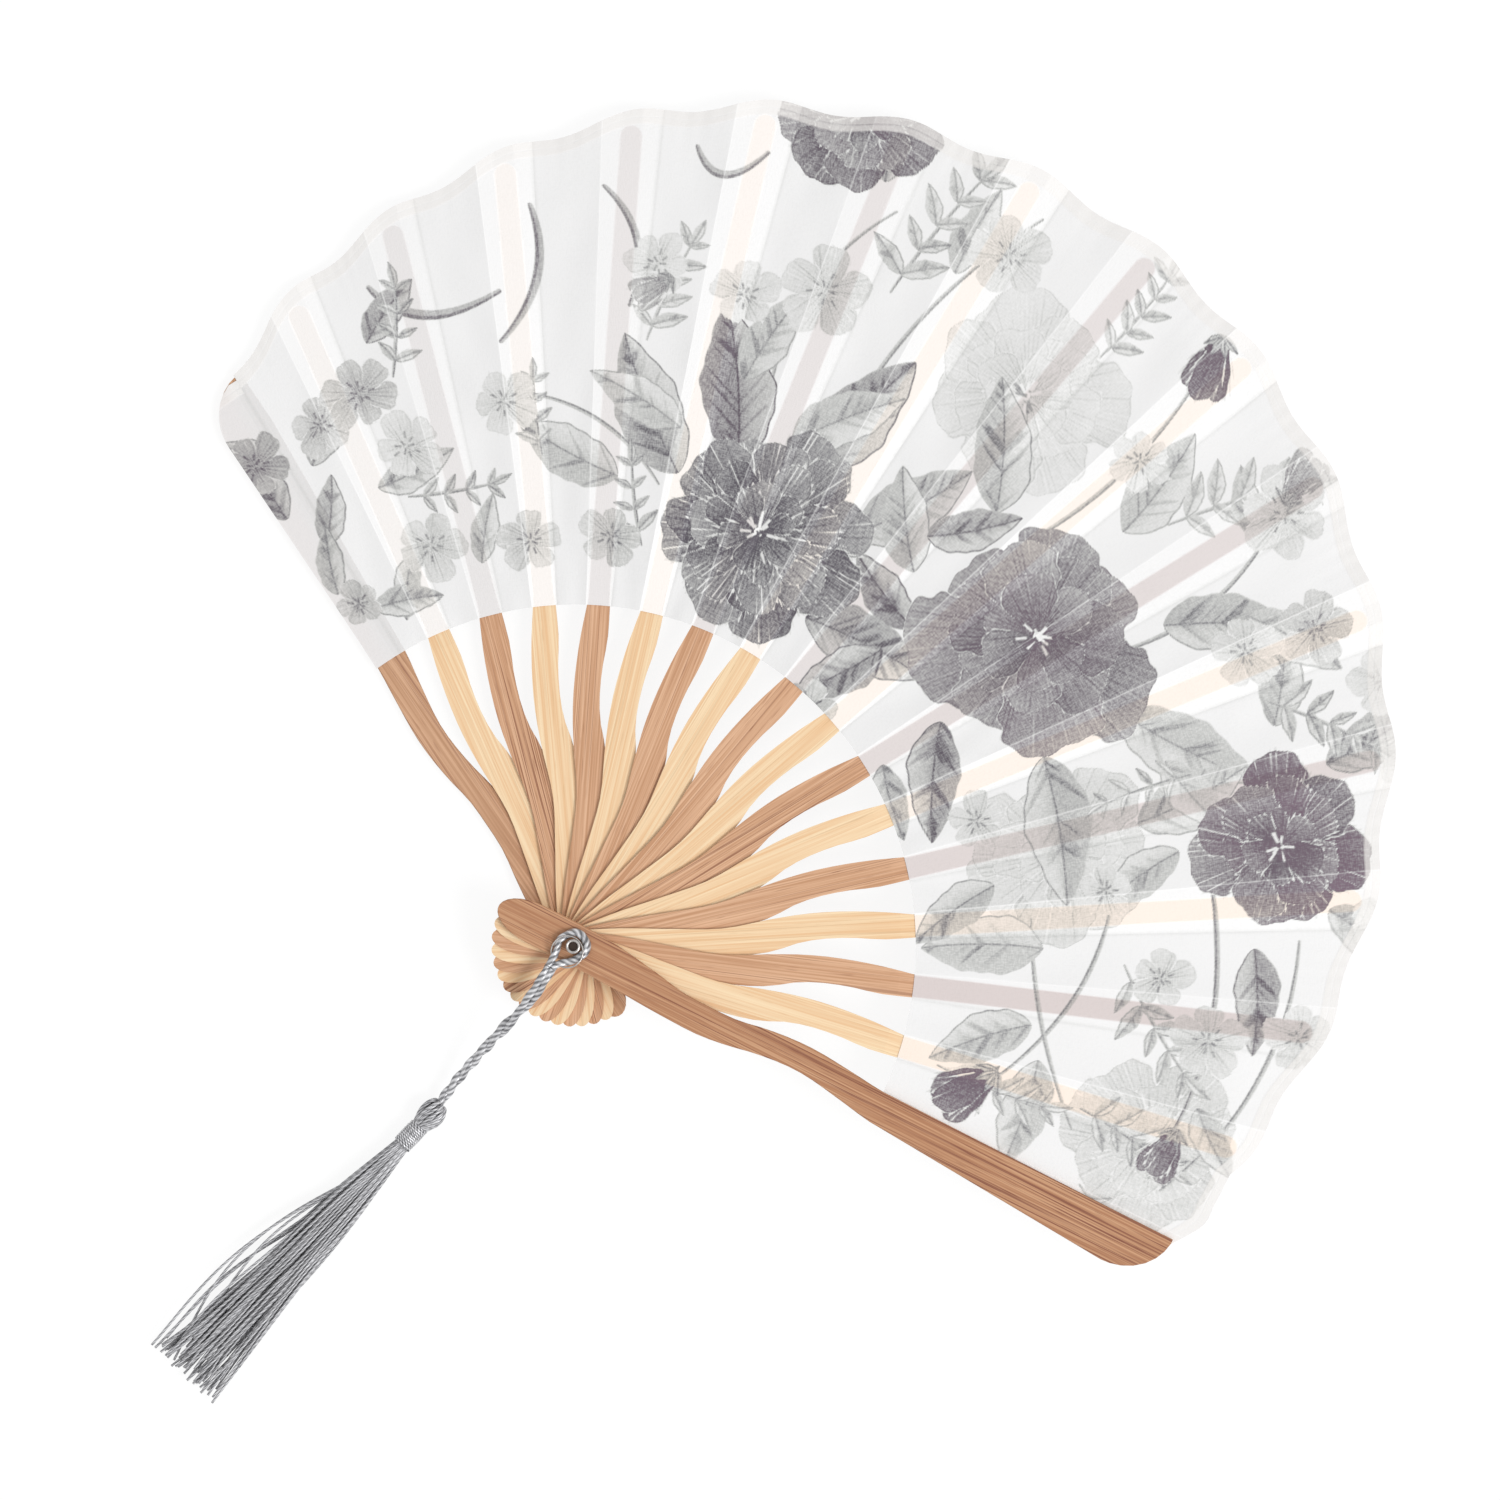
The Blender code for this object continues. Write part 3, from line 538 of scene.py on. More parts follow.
# Ribs
# Fifteen thin bamboo sticks, light and carbonised dark in turn, planed flat with the fibres along them. They
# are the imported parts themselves.
STICKS = 17
OPEN_SPREAD = radians(150.8)
UNEVEN_SPREAD = radians(3.1)
# The wood's pale and deep tone, that of its streaks and veins, and how much it has of these
LIGHT_WOOD = ((0.93, 0.725, 0.475), (0.82, 0.53, 0.295), (0.62, 0.39, 0.2), 0.05)
DARK_WOOD = ((0.76, 0.47, 0.295), (0.54, 0.285, 0.155), (0.28, 0.11, 0.055), 0.3)
VEINED_RIBS = {3: 0.8, 11: 0.8}


def stick_angle(number):
    """The direction of a stick from +X: evenly spread, and a little wider by the front guard."""
    share = (np.asarray(number) - 1) / (STICKS - 1)
    return pi / 2 + OPEN_SPREAD * (0.5 - share) + UNEVEN_SPREAD * np.sin(pi * share**2)


def bamboo_finish(name, angle, pale, deep, streak, streak_share, seed, contrast):
    """Planed bamboo: long fibres, fine pores in short dashes along them, and a slow drift of tone."""
    made, at = new_finish(name)

    def grain(length, width, detail, rough=0.6):
        size = (length * MM, width * MM, 3.5 * width * MM)
        turned = at.node("Mapping", {0: at, "Rotation": (0.0, 0.0, angle), "Scale": size}, vector_type="TEXTURE")
        sockets = {"Vector": turned, "W": float(seed), "Scale": 1.0, "Detail": detail, "Roughness": rough}
        return at.node("TexNoise", sockets, noise_dimensions="4D")

    fibre, fine, drift = grain(60, 1.3, 3.0), grain(60, 0.5, 1.0), grain(50, 5.0, 2.0)
    dash, vein = grain(8, 0.45, 1.0, 0.5), grain(80, 0.48, 1.0, 0.5)
    tone = (0.5 + contrast * (1.5 * (fibre - 0.5) + 3.6 * (fine - 0.5) + 1.1 * (drift - 0.5))).held()
    dashes = (10.0 * (dash - (0.66 - 0.06 * streak_share))).held()
    veins = (18.0 * (vein - (0.62 - 0.08 * streak_share))).held() * (6.0 * (fibre - 0.34)).held()
    marks = (0.35 * dashes + (0.4 + 0.55 * streak_share) * veins).held()
    colour = tone.ramp((0.0, deep), (1.0, pale)).mix(marks, streak)
    at.coat({"Base Color": colour, "Roughness": 0.46 + 0.18 * fine + 0.08 * marks})
    bump = (0.5 * fibre + 0.5 * fine - 0.5 * marks).bump(0.45, 0.12)
    at.coat({"Specular IOR Level": 0.35, "Normal": bump})
    return made


for number in range(2, STICKS):
    kind, (pale, deep, streak, streaks) = ("dark", DARK_WOOD) if number % 2 else ("light", LIGHT_WOOD)
    streaks = VEINED_RIBS.get(number, streaks)
    name = f"{kind}_bamboo_{number:02d}"
    wood = bamboo_finish(name, stick_angle(number), pale, deep, streak, streaks, number * 1.7, 0.85)
    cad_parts[f"rib_{number:02d}"].material_slots[0].material = wood

# Guards
# The outer sticks: thicker, of dark bamboo with reddish veins, and rounded at their ends.
GUARD_LEAN = radians(1.0)
GUARD_VEINS = (0.235, 0.085, 0.048)

for node, number, pale, deep, veins in (
    ("guard_front", STICKS, (0.6, 0.337, 0.19), (0.425, 0.198, 0.1), 0.9),
    ("guard_back", 1, (0.69, 0.42, 0.26), (0.49, 0.265, 0.148), 0.45),
):
    angle = stick_angle(number) + GUARD_LEAN
    wood = bamboo_finish(f"{node}_bamboo", angle, pale, deep, GUARD_VEINS, veins, number * 2.3, 1.0)
    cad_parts[node].material_slots[0].material = wood


# Leaf
# One sheet of thin white satin with a grey flower print, pleated, and glued to the sticks. It is made here as
# seventeen glued strips and sixteen free folds that meet in the creases. Lengths are in millimetres.
LEAF_INNER = 96.0
MID_RADIUS = 215
EDGE_RADIUS = 180.9
EDGE_CENTRE = (-1.9, 74.2)
LEAF_SCALLOP = 1.5
LEAF_HEM = 4.5
HALF_PLEAT = radians(2.1)
FRONT_EDGE_ANGLE = radians(1.3)
RIDGE_RISE = 0.5
VALLEY_DROP = 0.78
LIP_EASE = 1.3
# How wide the painted shade along a valley and the painted highlight along a ridge are
CREASE_SHADE_AND_HIGHLIGHT_WIDTHS = (0.6, 0.2)
GLUED_HALF_WIDTH = 2.9
BLADE_HALF_WIDTH = 3.1
# The edge's trim on the back guard, its slope on the front guard, and its flare across the last free fold
BACK_TRIM = 2.3
FRONT_SLOPE = 144.0
FRONT_FLARE = ((0, 0.4, 0.73), (0, 4.4, 6.2))
SAG = 0.36
WRINKLE = 0.0022
PUCKER = 0.05
# Instead of a crease's angle, on a guard's outer side
NO_CREASE = 9.0
# How much whiter the cloth is painted beside a pale and a dark stick that it is glued to, and how much more on
# it: the stick's backing, and painted light that makes the glued strips brighter than the free folds
BACKING_AND_PAINTED_LIGHT = ((0.35, 0.65), (0.0, 0.2))
BACK_LEVEL = 3.175
FRONT_LEVEL = 17.075
FIRST_RIB_LEVEL = 3.975
RIB_STEP = 0.9
# The cloth's edge on the back guard: distances from the pivot, and angles from the stick in degrees
BACK_EDGE = (
    (96, 2.706), (104, 2.47), (112, 2.33), (120, 2.212), (130, 2.107), (140, 2.014), (150, 1.931), (160, 1.86),
    (171.3, 1.789), (173, 1.752), (175, 1.636), (177, 1.439), (179, 1.148), (181, 0.742), (183, 0.179),
    (184.5, -0.407), (186, -1.291),
)
CLOTH_GRAIN = 0.33
# From a dark to a pale hair line of a petal
HAIR = 0.52
# Well outside a printed shape
OUT = -9.0


class Print:
    """Grey ink on white satin, at points in millimetres. What is stamped later covers what is under it."""

    def __init__(self, x, y):
        self.x, self.y = x, y
        self.ink, self.plum = np.zeros(len(x)), np.zeros(len(x))

    def near(self, place, turn, reach):
        """The points within reach of a place, and how far each lies along and across a direction from it."""
        dx, dy = self.x - place[0], self.y - place[1]
        at = np.flatnonzero((np.abs(dx) < reach) & (np.abs(dy) < reach))
        c, s = cos(turn), sin(turn)
        return at, dx[at] * c + dy[at] * s, dy[at] * c - dx[at] * s

    def stamp(self, at, inside, ink, plum=0.0, fade=0.45):
        """Covers the points with ink, from a distance inside the shape's edge in millimetres."""
        t = held(inside / fade + 0.5)
        share = t * t * (3 - 2 * t)
        self.ink[at] += share * (ink - self.ink[at])
        self.plum[at] += share * (plum - self.plum[at])


def petal(cloth, place, turn, length, width, ink, plum, chance, lines, rim):
    """A petal: narrow at its base, lobed at its end, darker towards its base and one side, with hair lines fanned
    from its base: dark ones that fade outwards and pale ones that come in from the edge."""
    at, u, v = cloth.near(place, turn, length * 1.25)
    a, b, c = chance.uniform(0, TURN, 3)
    fan = np.arctan2(v, np.maximum(u, 1e-6) + 0.2 * length)
    lobed = 1 + 0.045 * np.cos(4.5 * fan + a) + 0.022 * np.sin(11 * fan + b) + 0.01 * np.sin(29 * fan + c)
    share = held(u / (length * lobed))
    half = width / 2 * 1.12 * share**0.62 * np.sqrt(held(1 - share**3.4))
    half = half * (1 + 0.05 * np.sin(0.9 * u + b))
    inside = np.where(u > 0, np.minimum(half - np.abs(v), length * lobed - u), OUT)
    spread = 1.25 * atan2(width / 2, 0.92 * length)
    count = max(7, int(width / HAIR))
    hair = held(fan / spread * 0.5 + 0.5) * count
    table = chance.uniform(0.2, 1, count + 1) * (-1) ** np.arange(count + 1)
    starts = chance.uniform(0, 1, count + 1)
    streak, start = (np.interp(hair, np.arange(count + 1), part) for part in (table, starts))
    gap = 0.12 + 1.5 * held(streak) * lines
    cloth.stamp(at, np.where(u > 0.3 * length, inside + gap, OUT), 0.03 + 0.12 * ink, 0.0, 0.4)
    side = np.clip(v / np.maximum(half, 0.1), -1, 1)
    tone = ink * (0.78 + 0.3 * (1 - share) ** 1.6 + 0.08 * side * np.sign(np.cos(c)) - 0.08 * share**6)
    cloth.stamp(at, inside, held(tone), plum)
    core = held(inside / 0.5)
    dark = held((-streak - 0.1) / 0.5) * held(1.3 - share / (0.35 + 0.7 * start))
    pale = held((streak - 0.35) / 0.4) * held((share - 0.4 - 0.5 * start) / 0.25)
    shown = cloth.ink[at]
    shown = shown + core * (dark * (0.18 + 0.34 * ink) - pale * lines * shown)
    cloth.ink[at] = np.where(inside > 0, held(shown), cloth.ink[at])
    cloth.stamp(at, np.where(inside > 0, 0.2 - np.abs(inside - 0.25), OUT), held(tone + rim), plum, 0.4)


def bloom(cloth, place, radius, ink, plum, rings, seed, lines, rim, broad):
    """A full flower: rings of broad petals, each ring over the one outside it, round a small pale heart."""
    chance = default_rng(seed)
    for ring in range(rings):
        share = 1 - ring / rings
        count = 8 if ring < 2 else 7 - min(2, ring - 2)
        count -= broad > 1
        start = chance.uniform(0, TURN)
        for k in chance.permutation(count):
            turn = start + TURN * (k + chance.uniform(-0.22, 0.22)) / count
            length = radius * (0.22 + 0.78 * share) * chance.uniform(0.82, 1.08)
            inner = 0.04 * radius
            spot = stepped(place, turn, inner)
            width = length * broad * chance.uniform(0.85, 1.12)
            tone, tint = min(ink * chance.uniform(0.78, 1.1), 1), plum * chance.uniform(0.6, 1.3)
            petal(cloth, spot, turn, length - inner, width, tone, tint, chance, lines, rim)
    for k in range(16):
        turn, far = chance.uniform(0, TURN), radius * chance.uniform(0.02, 0.14)
        at, u, v = cloth.near(stepped(place, turn, far), turn, 5)
        mark = np.minimum(0.42 - np.abs(v), 1.6 - np.abs(u))
        cloth.stamp(at, mark, 0.06 if k % 3 else min(1, ink + 0.4), plum)


def blossom(cloth, place, radius, petals, seed, ink, plum=0):
    """A small open flower of a few round petals, with stamens."""
    chance = default_rng(seed)
    start = chance.uniform(0, TURN)
    for k in range(petals):
        turn = start + TURN * (k + chance.uniform(-0.08, 0.08)) / petals
        length = radius * chance.uniform(0.82, 1.08)
        tone = ink * chance.uniform(0.75, 1.1)
        petal(cloth, place, turn, length, 5.4 * length / petals, tone, plum, chance, 0.5, 0.05)
    for k in range(9):
        turn, far = start + k * 0.7, radius * (0.14 + 0.1 * (k % 3))
        at, u, v = cloth.near(stepped(place, turn, far), turn, 2.5)
        cloth.stamp(at, np.minimum(0.26 - np.abs(v), 0.9 - np.abs(u)), min(1, ink + 0.4), plum)


def stalk(cloth, points, width, ink, plum=0.0):
    """A pale stroke from one place to another, bent towards the one between, and a finer dark line beside it."""
    a, b, c = (np.array(p, float) for p in points)
    t = np.linspace(0, 1, 26)[:, None]
    line = (1 - t) ** 2 * a + 2 * t * (1 - t) * b + t**2 * c
    middle, reach = line.mean(0), np.ptp(line, axis=0).max() + 4
    at, u, v = cloth.near(middle, 0, reach)
    near, side, share = np.full(len(at), np.inf), np.zeros(len(at)), np.zeros(len(at))
    for k, (p, q) in enumerate(zip(line[:-1], line[1:])):
        dx, dy = q - p
        px, py = u + middle[0] - p[0], v + middle[1] - p[1]
        w = held((px * dx + py * dy) / (dx * dx + dy * dy))
        off = np.hypot(px - w * dx, py - w * dy)
        closer = off < near
        near = np.where(closer, off, near)
        side = np.where(closer, np.sign(px * dy - py * dx) * off, side)
        share = np.where(closer, (k + w) / 25, share)
    swell = width * (0.55 + 0.6 * np.sin(pi * share**0.8))
    cloth.stamp(at, swell / 2 - near, ink, plum)
    dark = np.where(near < swell, 0.16 * swell + 0.06 - np.abs(side - 0.27 * swell), OUT)
    cloth.stamp(at, dark, min(1, ink * 2.0), plum, 0.35)


def foliage(cloth, place, turn, length, width, bend, seed, ink, plum=0):
    """A pointed leaf, bent to one side: soft tone, darker along the midrib, with hair veins."""
    at, u, v = cloth.near(place, turn, length * 1.3)
    share = held(u / length)
    v = v - bend * length * share**2
    wavy = 1 + 0.05 * np.sin(14 * share + seed) + 0.025 * np.sin(37 * share + 2 * seed)
    half = width / 2 * np.sin(pi * share**0.8) ** 0.8 * wavy
    inside = np.where((u > 0) & (u < length), half - np.abs(v), OUT)
    side = np.clip(v / np.maximum(half, 0.1), -1, 1)
    tone = ink * (0.82 + 0.26 * np.tanh(4 * side) + 0.3 * (1 - np.abs(side)) ** 2 - 0.15 * share)
    cloth.stamp(at, inside, held(tone), plum)
    count = max(5, int(length / 1.25))
    way = held((u - 1.1 * np.abs(v)) / length) * count
    chance = default_rng(seed)
    table = np.interp(way, np.arange(count + 1), chance.uniform(-1, 1, count + 1))
    ends = np.interp(way, np.arange(count + 1), chance.uniform(0.4, 1.2, count + 1))
    vein = held(table) * held((ends - np.abs(side)) * 4) * held(inside / 0.5) * np.where(v > 0, 1.0, 0.7)
    shown = cloth.ink[at]
    cloth.ink[at] = np.where(inside > 0, held(shown + vein * (0.16 + 0.6 * ink)), shown)
    cloth.stamp(at, np.where(inside > 0, 0.24 - np.abs(v), OUT), min(1, ink * 1.45 + 0.16), plum, 0.4)
    cloth.stamp(at, np.where(v < 0, 0.2 - np.abs(inside - 0.22), OUT), min(1, ink * 1.4 + 0.12), plum, 0.4)


def sprig(cloth, place, turn, length, pairs, ink, seed, bend):
    """A twig with a pair of small leaves at each joint and one at its tip."""
    chance = default_rng(seed)
    c, s = cos(turn), sin(turn)

    def spot(share):
        u, v = length * share, bend * length * share**2
        return place[0] + u * c - v * s, place[1] + u * s + v * c

    stalk(cloth, (spot(0), spot(0.5), spot(1)), 0.9, ink * 1.2)
    for k in range(pairs):
        share = (k + 0.7) / pairs
        for side in (-1, 1):
            way = turn + 2 * bend * share + side * chance.uniform(0.65, 1.0)
            long = length * 0.3 * chance.uniform(0.8, 1.15) * (1.1 - 0.35 * share)
            foliage(cloth, spot(share), way, long, long * 0.4, 0.12 * side, k, ink * chance.uniform(0.8, 1.2))
    foliage(cloth, spot(0.97), turn + 2 * bend, length * 0.27, length * 0.1, 0.1, 0, ink)


def bud(cloth, place, turn, length, ink, plum, seed):
    """A closed cup of three petals, with pale streaks at its mouth, in small green leaves."""
    chance = default_rng(seed)
    for side, wide in ((-0.22, 0.8), (0.22, 0.8), (0.0, 0.85)):
        long = length * chance.uniform(0.94, 1.04)
        petal(cloth, place, turn + side, long, length * wide * 0.66, ink, plum, chance, 1.0, 0.1)
    for side in (-0.9, -0.3, 0.35, 0.95):
        foliage(cloth, place, turn + side, length * 0.34, length * 0.12, 0.1, 0, 0.35)


# Place, radius, ink, plum, rings of petals, seed, lines, rim, and the petals' breadth
FAINT_BLOOMS = (
    ((-10, 200), 30, 0.18, 0.0, 3, 5, 0.6, 0.12, 1.1),
    ((84, 112), 26, 0.24, 0.0, 3, 15, 0.6, 0.12, 1.1),
    ((157, 68), 25, 0.25, 0.0, 3, 16, 0.7, 0.1, 1.1),
)
DARK_BLOOMS = (
    ((-40, 121), 32, 0.9, 0.12, 5, 2, 1.0, 0.08, 0.78),
    ((38, 152), 35, 0.74, 0.62, 3, 31, 0.35, 0.14, 1.1),
    ((128, 154), 26, 0.92, 0.85, 3, 12, 0.9, 0.06, 1.05),
    ((-98, 228), 23, 0.84, 0.5, 3, 9, 0.6, 0.12, 1.05),
)
# Ends and bend, width, ink, and plum if any
STALKS = (
    (((-168, 98), (-148, 96), (-140, 122)), 2.5, 0.34, 0.4),
    (((-150, 146), (-130, 136), (-130, 112)), 2.3, 0.34, 0.4),
    (((-138, 164), (-118, 164), (-110, 144)), 1.9, 0.32, 0.4),
    (((-126, 190), (-112, 182), (-110, 202)), 2.0, 0.32, 0.4),
    (((-60, 146), (-84, 178), (-72, 214)), 1.1, 0.3), (((-38, 146), (-54, 190), (-40, 240)), 1.1, 0.3),
    (((14, 160), (32, 200), (20, 248)), 1.1, 0.3), (((55, 160), (76, 190), (64, 226)), 1.2, 0.32),
    (((112, 140), (152, 112), (160, 72)), 1.3, 0.36, 0.2), (((104, 110), (120, 84), (112, 50)), 1.2, 0.32),
    (((150, 138), (176, 104), (168, 60)), 1.2, 0.32), (((-70, 112), (-96, 120), (-118, 104)), 1.1, 0.3),
    (((90, 92), (110, 70), (138, 56)), 1.1, 0.3),
)
# Place, direction in degrees, length, width, ink, and plum if any
FOLIAGE = (
    (-68, 118, 160, 42, 19, 0.4, 0.1), (-58, 132, 128, 44, 21, 0.55, 0.4), (-40, 142, 96, 44, 20, 0.48, 0.25),
    (-20, 138, 62, 38, 17, 0.34, 0.1), (-14, 112, 22, 38, 17, 0.42, 0.15), (6, 170, 122, 38, 17, 0.34),
    (62, 178, 48, 38, 17, 0.36), (70, 152, 8, 42, 19, 0.28), (62, 128, -32, 42, 19, 0.36),
    (34, 116, -60, 34, 15, 0.46, 0.25), (8, 120, -104, 28, 13, 0.45, 0.2), (36, 190, 88, 34, 16, 0.28),
    (-80, 106, 200, 32, 15, 0.3), (122, 180, 66, 32, 14, 0.36, 0.1), (150, 150, 12, 30, 13, 0.3),
    (104, 178, 118, 28, 13, 0.3), (142, 128, -42, 30, 13, 0.46, 0.35), (98, 88, 214, 34, 17, 0.28),
    (118, 64, 300, 32, 14, 0.28), (110, 70, 232, 30, 14, 0.3), (-112, 214, 62, 30, 13, 0.34),
    (-80, 218, 122, 28, 12, 0.36), (-48, 212, 110, 27, 11, 0.28), (160, 84, 330, 22, 10, 0.3),
    (0, 142, 145, 30, 14, 0.32), (-4, 152, 45, 27, 12, 0.42, 0.2), (78, 196, 20, 30, 13, 0.26),
    (94, 132, 62, 34, 16, 0.28), (-72, 150, 104, 30, 13, 0.3), (76, 92, 250, 28, 12, 0.34),
    (-50, 146, 70, 34, 15, 0.3), (-76, 128, 182, 30, 12, 0.26), (10, 130, 175, 26, 12, 0.5, 0.3),
    (88, 150, -14, 26, 12, 0.24), (-146, 50, 112, 27, 11, 0.38, 0.1), (-128, 58, 62, 24, 10, 0.3),
    (-158, 86, 104, 22, 10, 0.42, 0.3), (-108, 50, 300, 18, 8, 0.3), (-92, 62, 130, 20, 8, 0.28),
    (108, 134, 250, 28, 12, 0.3), (64, 214, 150, 20, 9, 0.28), (30, 96, 320, 22, 10, 0.34),
    (-141, 34, 168, 26, 11, 0.42, 0.3), (-128, 36, 120, 20, 9, 0.36, 0.2), (-116, 28, 150, 20, 8, 0.32),
    (-154, 44, 200, 18, 8, 0.34, 0.2), (-106, 32, 60, 20, 9, 0.34),
)
# Place, radius, petals, ink, and plum if any
BLOSSOMS = (
    (-72, 184, 13, 5, 0.24), (-88, 168, 10, 5, 0.2), (-112, 158, 10, 6, 0.16), (-118, 100, 10, 5, 0.22),
    (-70, 92, 9, 5, 0.3), (-40, 226, 12, 5, 0.2), (66, 224, 14, 6, 0.22), (94, 206, 11, 5, 0.3, 0.2),
    (84, 188, 10, 5, 0.26), (150, 100, 11, 5, 0.24), (168, 118, 10, 5, 0.2), (128, 104, 9, 5, 0.26),
    (142, 196, 11, 6, 0.2), (118, 208, 10, 5, 0.2), (-152, 60, 9, 5, 0.3, 0.3), (-130, 72, 10, 5, 0.2),
    (164, 158, 9, 5, 0.2), (26, 208, 9, 6, 0.2), (4, 94, 9, 5, 0.34), (60, 102, 9, 5, 0.22),
    (-106, 56, 11, 5, 0.24), (-86, 76, 9, 5, 0.28, 0.1), (-150, 74, 11, 6, 0.34, 0.3), (100, 112, 8, 5, 0.2),
    (-158, 39, 10, 6, 0.46, 0.4), (-110, 30, 7, 5, 0.3, 0.2),
)
# Place, direction in degrees, length, pairs of leaves and ink
SPRIGS = (
    (-58, 196, 104, 42, 5, 0.26), (-2, 222, 80, 30, 5, 0.22), (44, 200, 70, 40, 5, 0.22),
    (96, 152, 230, 26, 4, 0.24), (98, 182, 30, 34, 5, 0.26), (118, 100, 330, 36, 5, 0.24),
    (-100, 140, 118, 30, 5, 0.22), (-146, 84, 120, 26, 4, 0.3), (136, 62, 20, 30, 5, 0.26),
    (98, 44, 10, 32, 5, 0.22), (-100, 96, 150, 22, 4, 0.24), (150, 46, 340, 24, 4, 0.24),
    (150, 176, 62, 26, 4, 0.24), (-120, 62, 40, 24, 4, 0.26), (-62, 96, 150, 24, 4, 0.28),
)
# Place, direction in degrees, length, ink, plum and seed
BUDS = (
    (20, 250, -72, 19, 0.9, 0.7, 3), (112, 54, 250, 20, 0.95, 0.8, 4), (160, 76, 282, 16, 0.8, 0.7, 6),
    (64, 226, 96, 16, 0.5, 0.4, 8), (-106, 158, 250, 13, 0.45, 0.3, 9),
)


def leaf_print(x, y):
    """The whole print, from its faint flowers up to its buds."""
    cloth = Print(x, y)
    for flower in FAINT_BLOOMS:
        bloom(cloth, *flower)
    for line in STALKS:
        stalk(cloth, *line)
    for k, (px, py, a, long, wide, *tone) in enumerate(FOLIAGE):
        foliage(cloth, (px, py), radians(a), long, wide, 0.14 if k % 2 else -0.12, k, *tone)
    for k, (px, py, a, long, pairs, ink) in enumerate(SPRIGS):
        sprig(cloth, (px, py), radians(a), long, pairs, ink, 70 + k, 0.2 if k % 2 else -0.2)
    for flower in DARK_BLOOMS:
        bloom(cloth, *flower)
    for k, (px, py, radius, petals, *tone) in enumerate(BLOSSOMS):
        blossom(cloth, (px, py), radius, petals, 40 + k, *tone)
    for px, py, a, long, ink, plum, seed in BUDS:
        bud(cloth, (px, py), radians(a), long, ink, plum, seed)
    return cloth.ink, cloth.plum


# What every point of the cloth holds, for its finish; ridge, valley and white carry painted highlight, painted
# shade and painted light
CLOTH_VALUES = ("ink", "plum", "hem", "ridge", "valley", "white", "pale_stick", "dark_stick")


def satin_finish(name):
    """Thin white satin, a little see-through, with ink soaked into its weave, a doubled hem, and the sticks'
    tone where it is glued to them. It is painted lighter along its ridge creases and darker along its valleys,
    a painted highlight and painted shade, and whiter where glued: painted light, along with the stick's backing."""
    made, at = new_finish(name, "UV")
    ink, plum, hem, ridge, valley, white, pale_stick, dark_stick = (
        at.node("Attribute", {}, output="Fac", attribute_name=key) for key in CLOTH_VALUES
    )
    clear = 1.0 - 0.8 * ink
    pale_stick, dark_stick = pale_stick * clear, dark_stick * clear
    u, v = (at.node("SeparateXYZ", {0: at}, output=k) for k in (0, 1))
    warp, weft = (u * 2.4).noise(v * 0.7, 1.0), (u * 0.6).noise(v * 2.6, 1.0)
    weave = (0.5 + 2.2 * (warp - 0.5) + 1.8 * (weft - 0.5)).held()
    slub = (u * 0.3).noise(v * 0.05, 3.0)
    cloudy = at.node("TexNoise", {"Vector": at, "Scale": 0.06, "Detail": 2.0})
    # Ridges take less ink, a painted highlight, and valleys are darkened, painted shade along the creases
    soaked = ink * (1.0 + 0.42 * (weave - 0.5) + 0.35 * (slub - 0.5)) * (1.0 - 0.3 * ridge)
    soaked = (soaked + 0.05 * (cloudy - 0.5) + 0.03 * (weave - 0.5) + 0.08 * valley).held()
    colour = soaked.ramp(
        (0.0, (0.872, 0.868, 0.868)),
        (0.15, (0.705, 0.705, 0.695)),
        (0.3, (0.54, 0.545, 0.53)),
        (0.6, (0.29, 0.288, 0.296)),
        (0.8, (0.165, 0.163, 0.175)),
        (1.0, (0.085, 0.078, 0.096)),
    )
    colour = colour.mix((plum * soaked * 0.8).held(), (0.175, 0.115, 0.155))
    # The hem is a little creamier; along each ridge crease the cloth is painted lighter, a painted highlight
    colour = colour.mix(hem * 0.6, (0.865, 0.838, 0.812)).mix(ridge * clear * 0.42, (0.97, 0.968, 0.966))
    # The white share lightens the glued strips, painted light along with the stick's backing; the stick shares
    # are the sticks seen through the cloth
    tints = ((white, (1.14, 1.14, 1.14)), (pale_stick, (0.975, 0.845, 0.745)), (dark_stick, (0.745, 0.66, 0.645)))
    for share, tint in tints:
        colour = colour.mix(share, tint, blend_type="MULTIPLY")
    backed = (pale_stick * 2.5 + dark_stick * 2.5).held()
    solid = (0.86 + 0.15 * soaked + 0.12 * hem + 0.14 * backed).held()
    at.coat({"Base Color": colour, "Roughness": 0.42 + 0.2 * weave + 0.12 * soaked, "Alpha": solid})
    bump = (0.6 * weave + 0.4 * slub + 1.6 * hem).bump(0.4, 0.1)
    at.coat({"Sheen Weight": 0.1, "Normal": bump})
    return made


def leaf_reach(angle):
    """The distance from the pivot to the leaf's edge: a circle whose middle lies up the fan, scalloped outwards
    at the sticks and inwards between them."""
    cx, cy = EDGE_CENTRE
    towards = cx * np.cos(angle) + cy * np.sin(angle)
    arc = towards + np.sqrt(EDGE_RADIUS**2 - cx**2 - cy**2 + towards**2)
    numbers = np.arange(STICKS, 0, -1)
    place = np.interp(angle, stick_angle(numbers), numbers)
    return arc + LEAF_SCALLOP * np.cos(TURN * place)


def rib_level(number):
    return FIRST_RIB_LEVEL + (number - 2) * RIB_STEP


def body_name(number):
    return {1: "back_guard", STICKS: "front_guard"}.get(number, f"stick_{number:02d}")


def lip(radius):
    """A crease's share of its full height at a radius: less where the lip beside the stick is narrow."""
    return 1 - np.exp(-(HALF_PLEAT * radius - GLUED_HALF_WIDTH) / LIP_EASE)


def between(low, high, share):
    return low + (high - low) * share


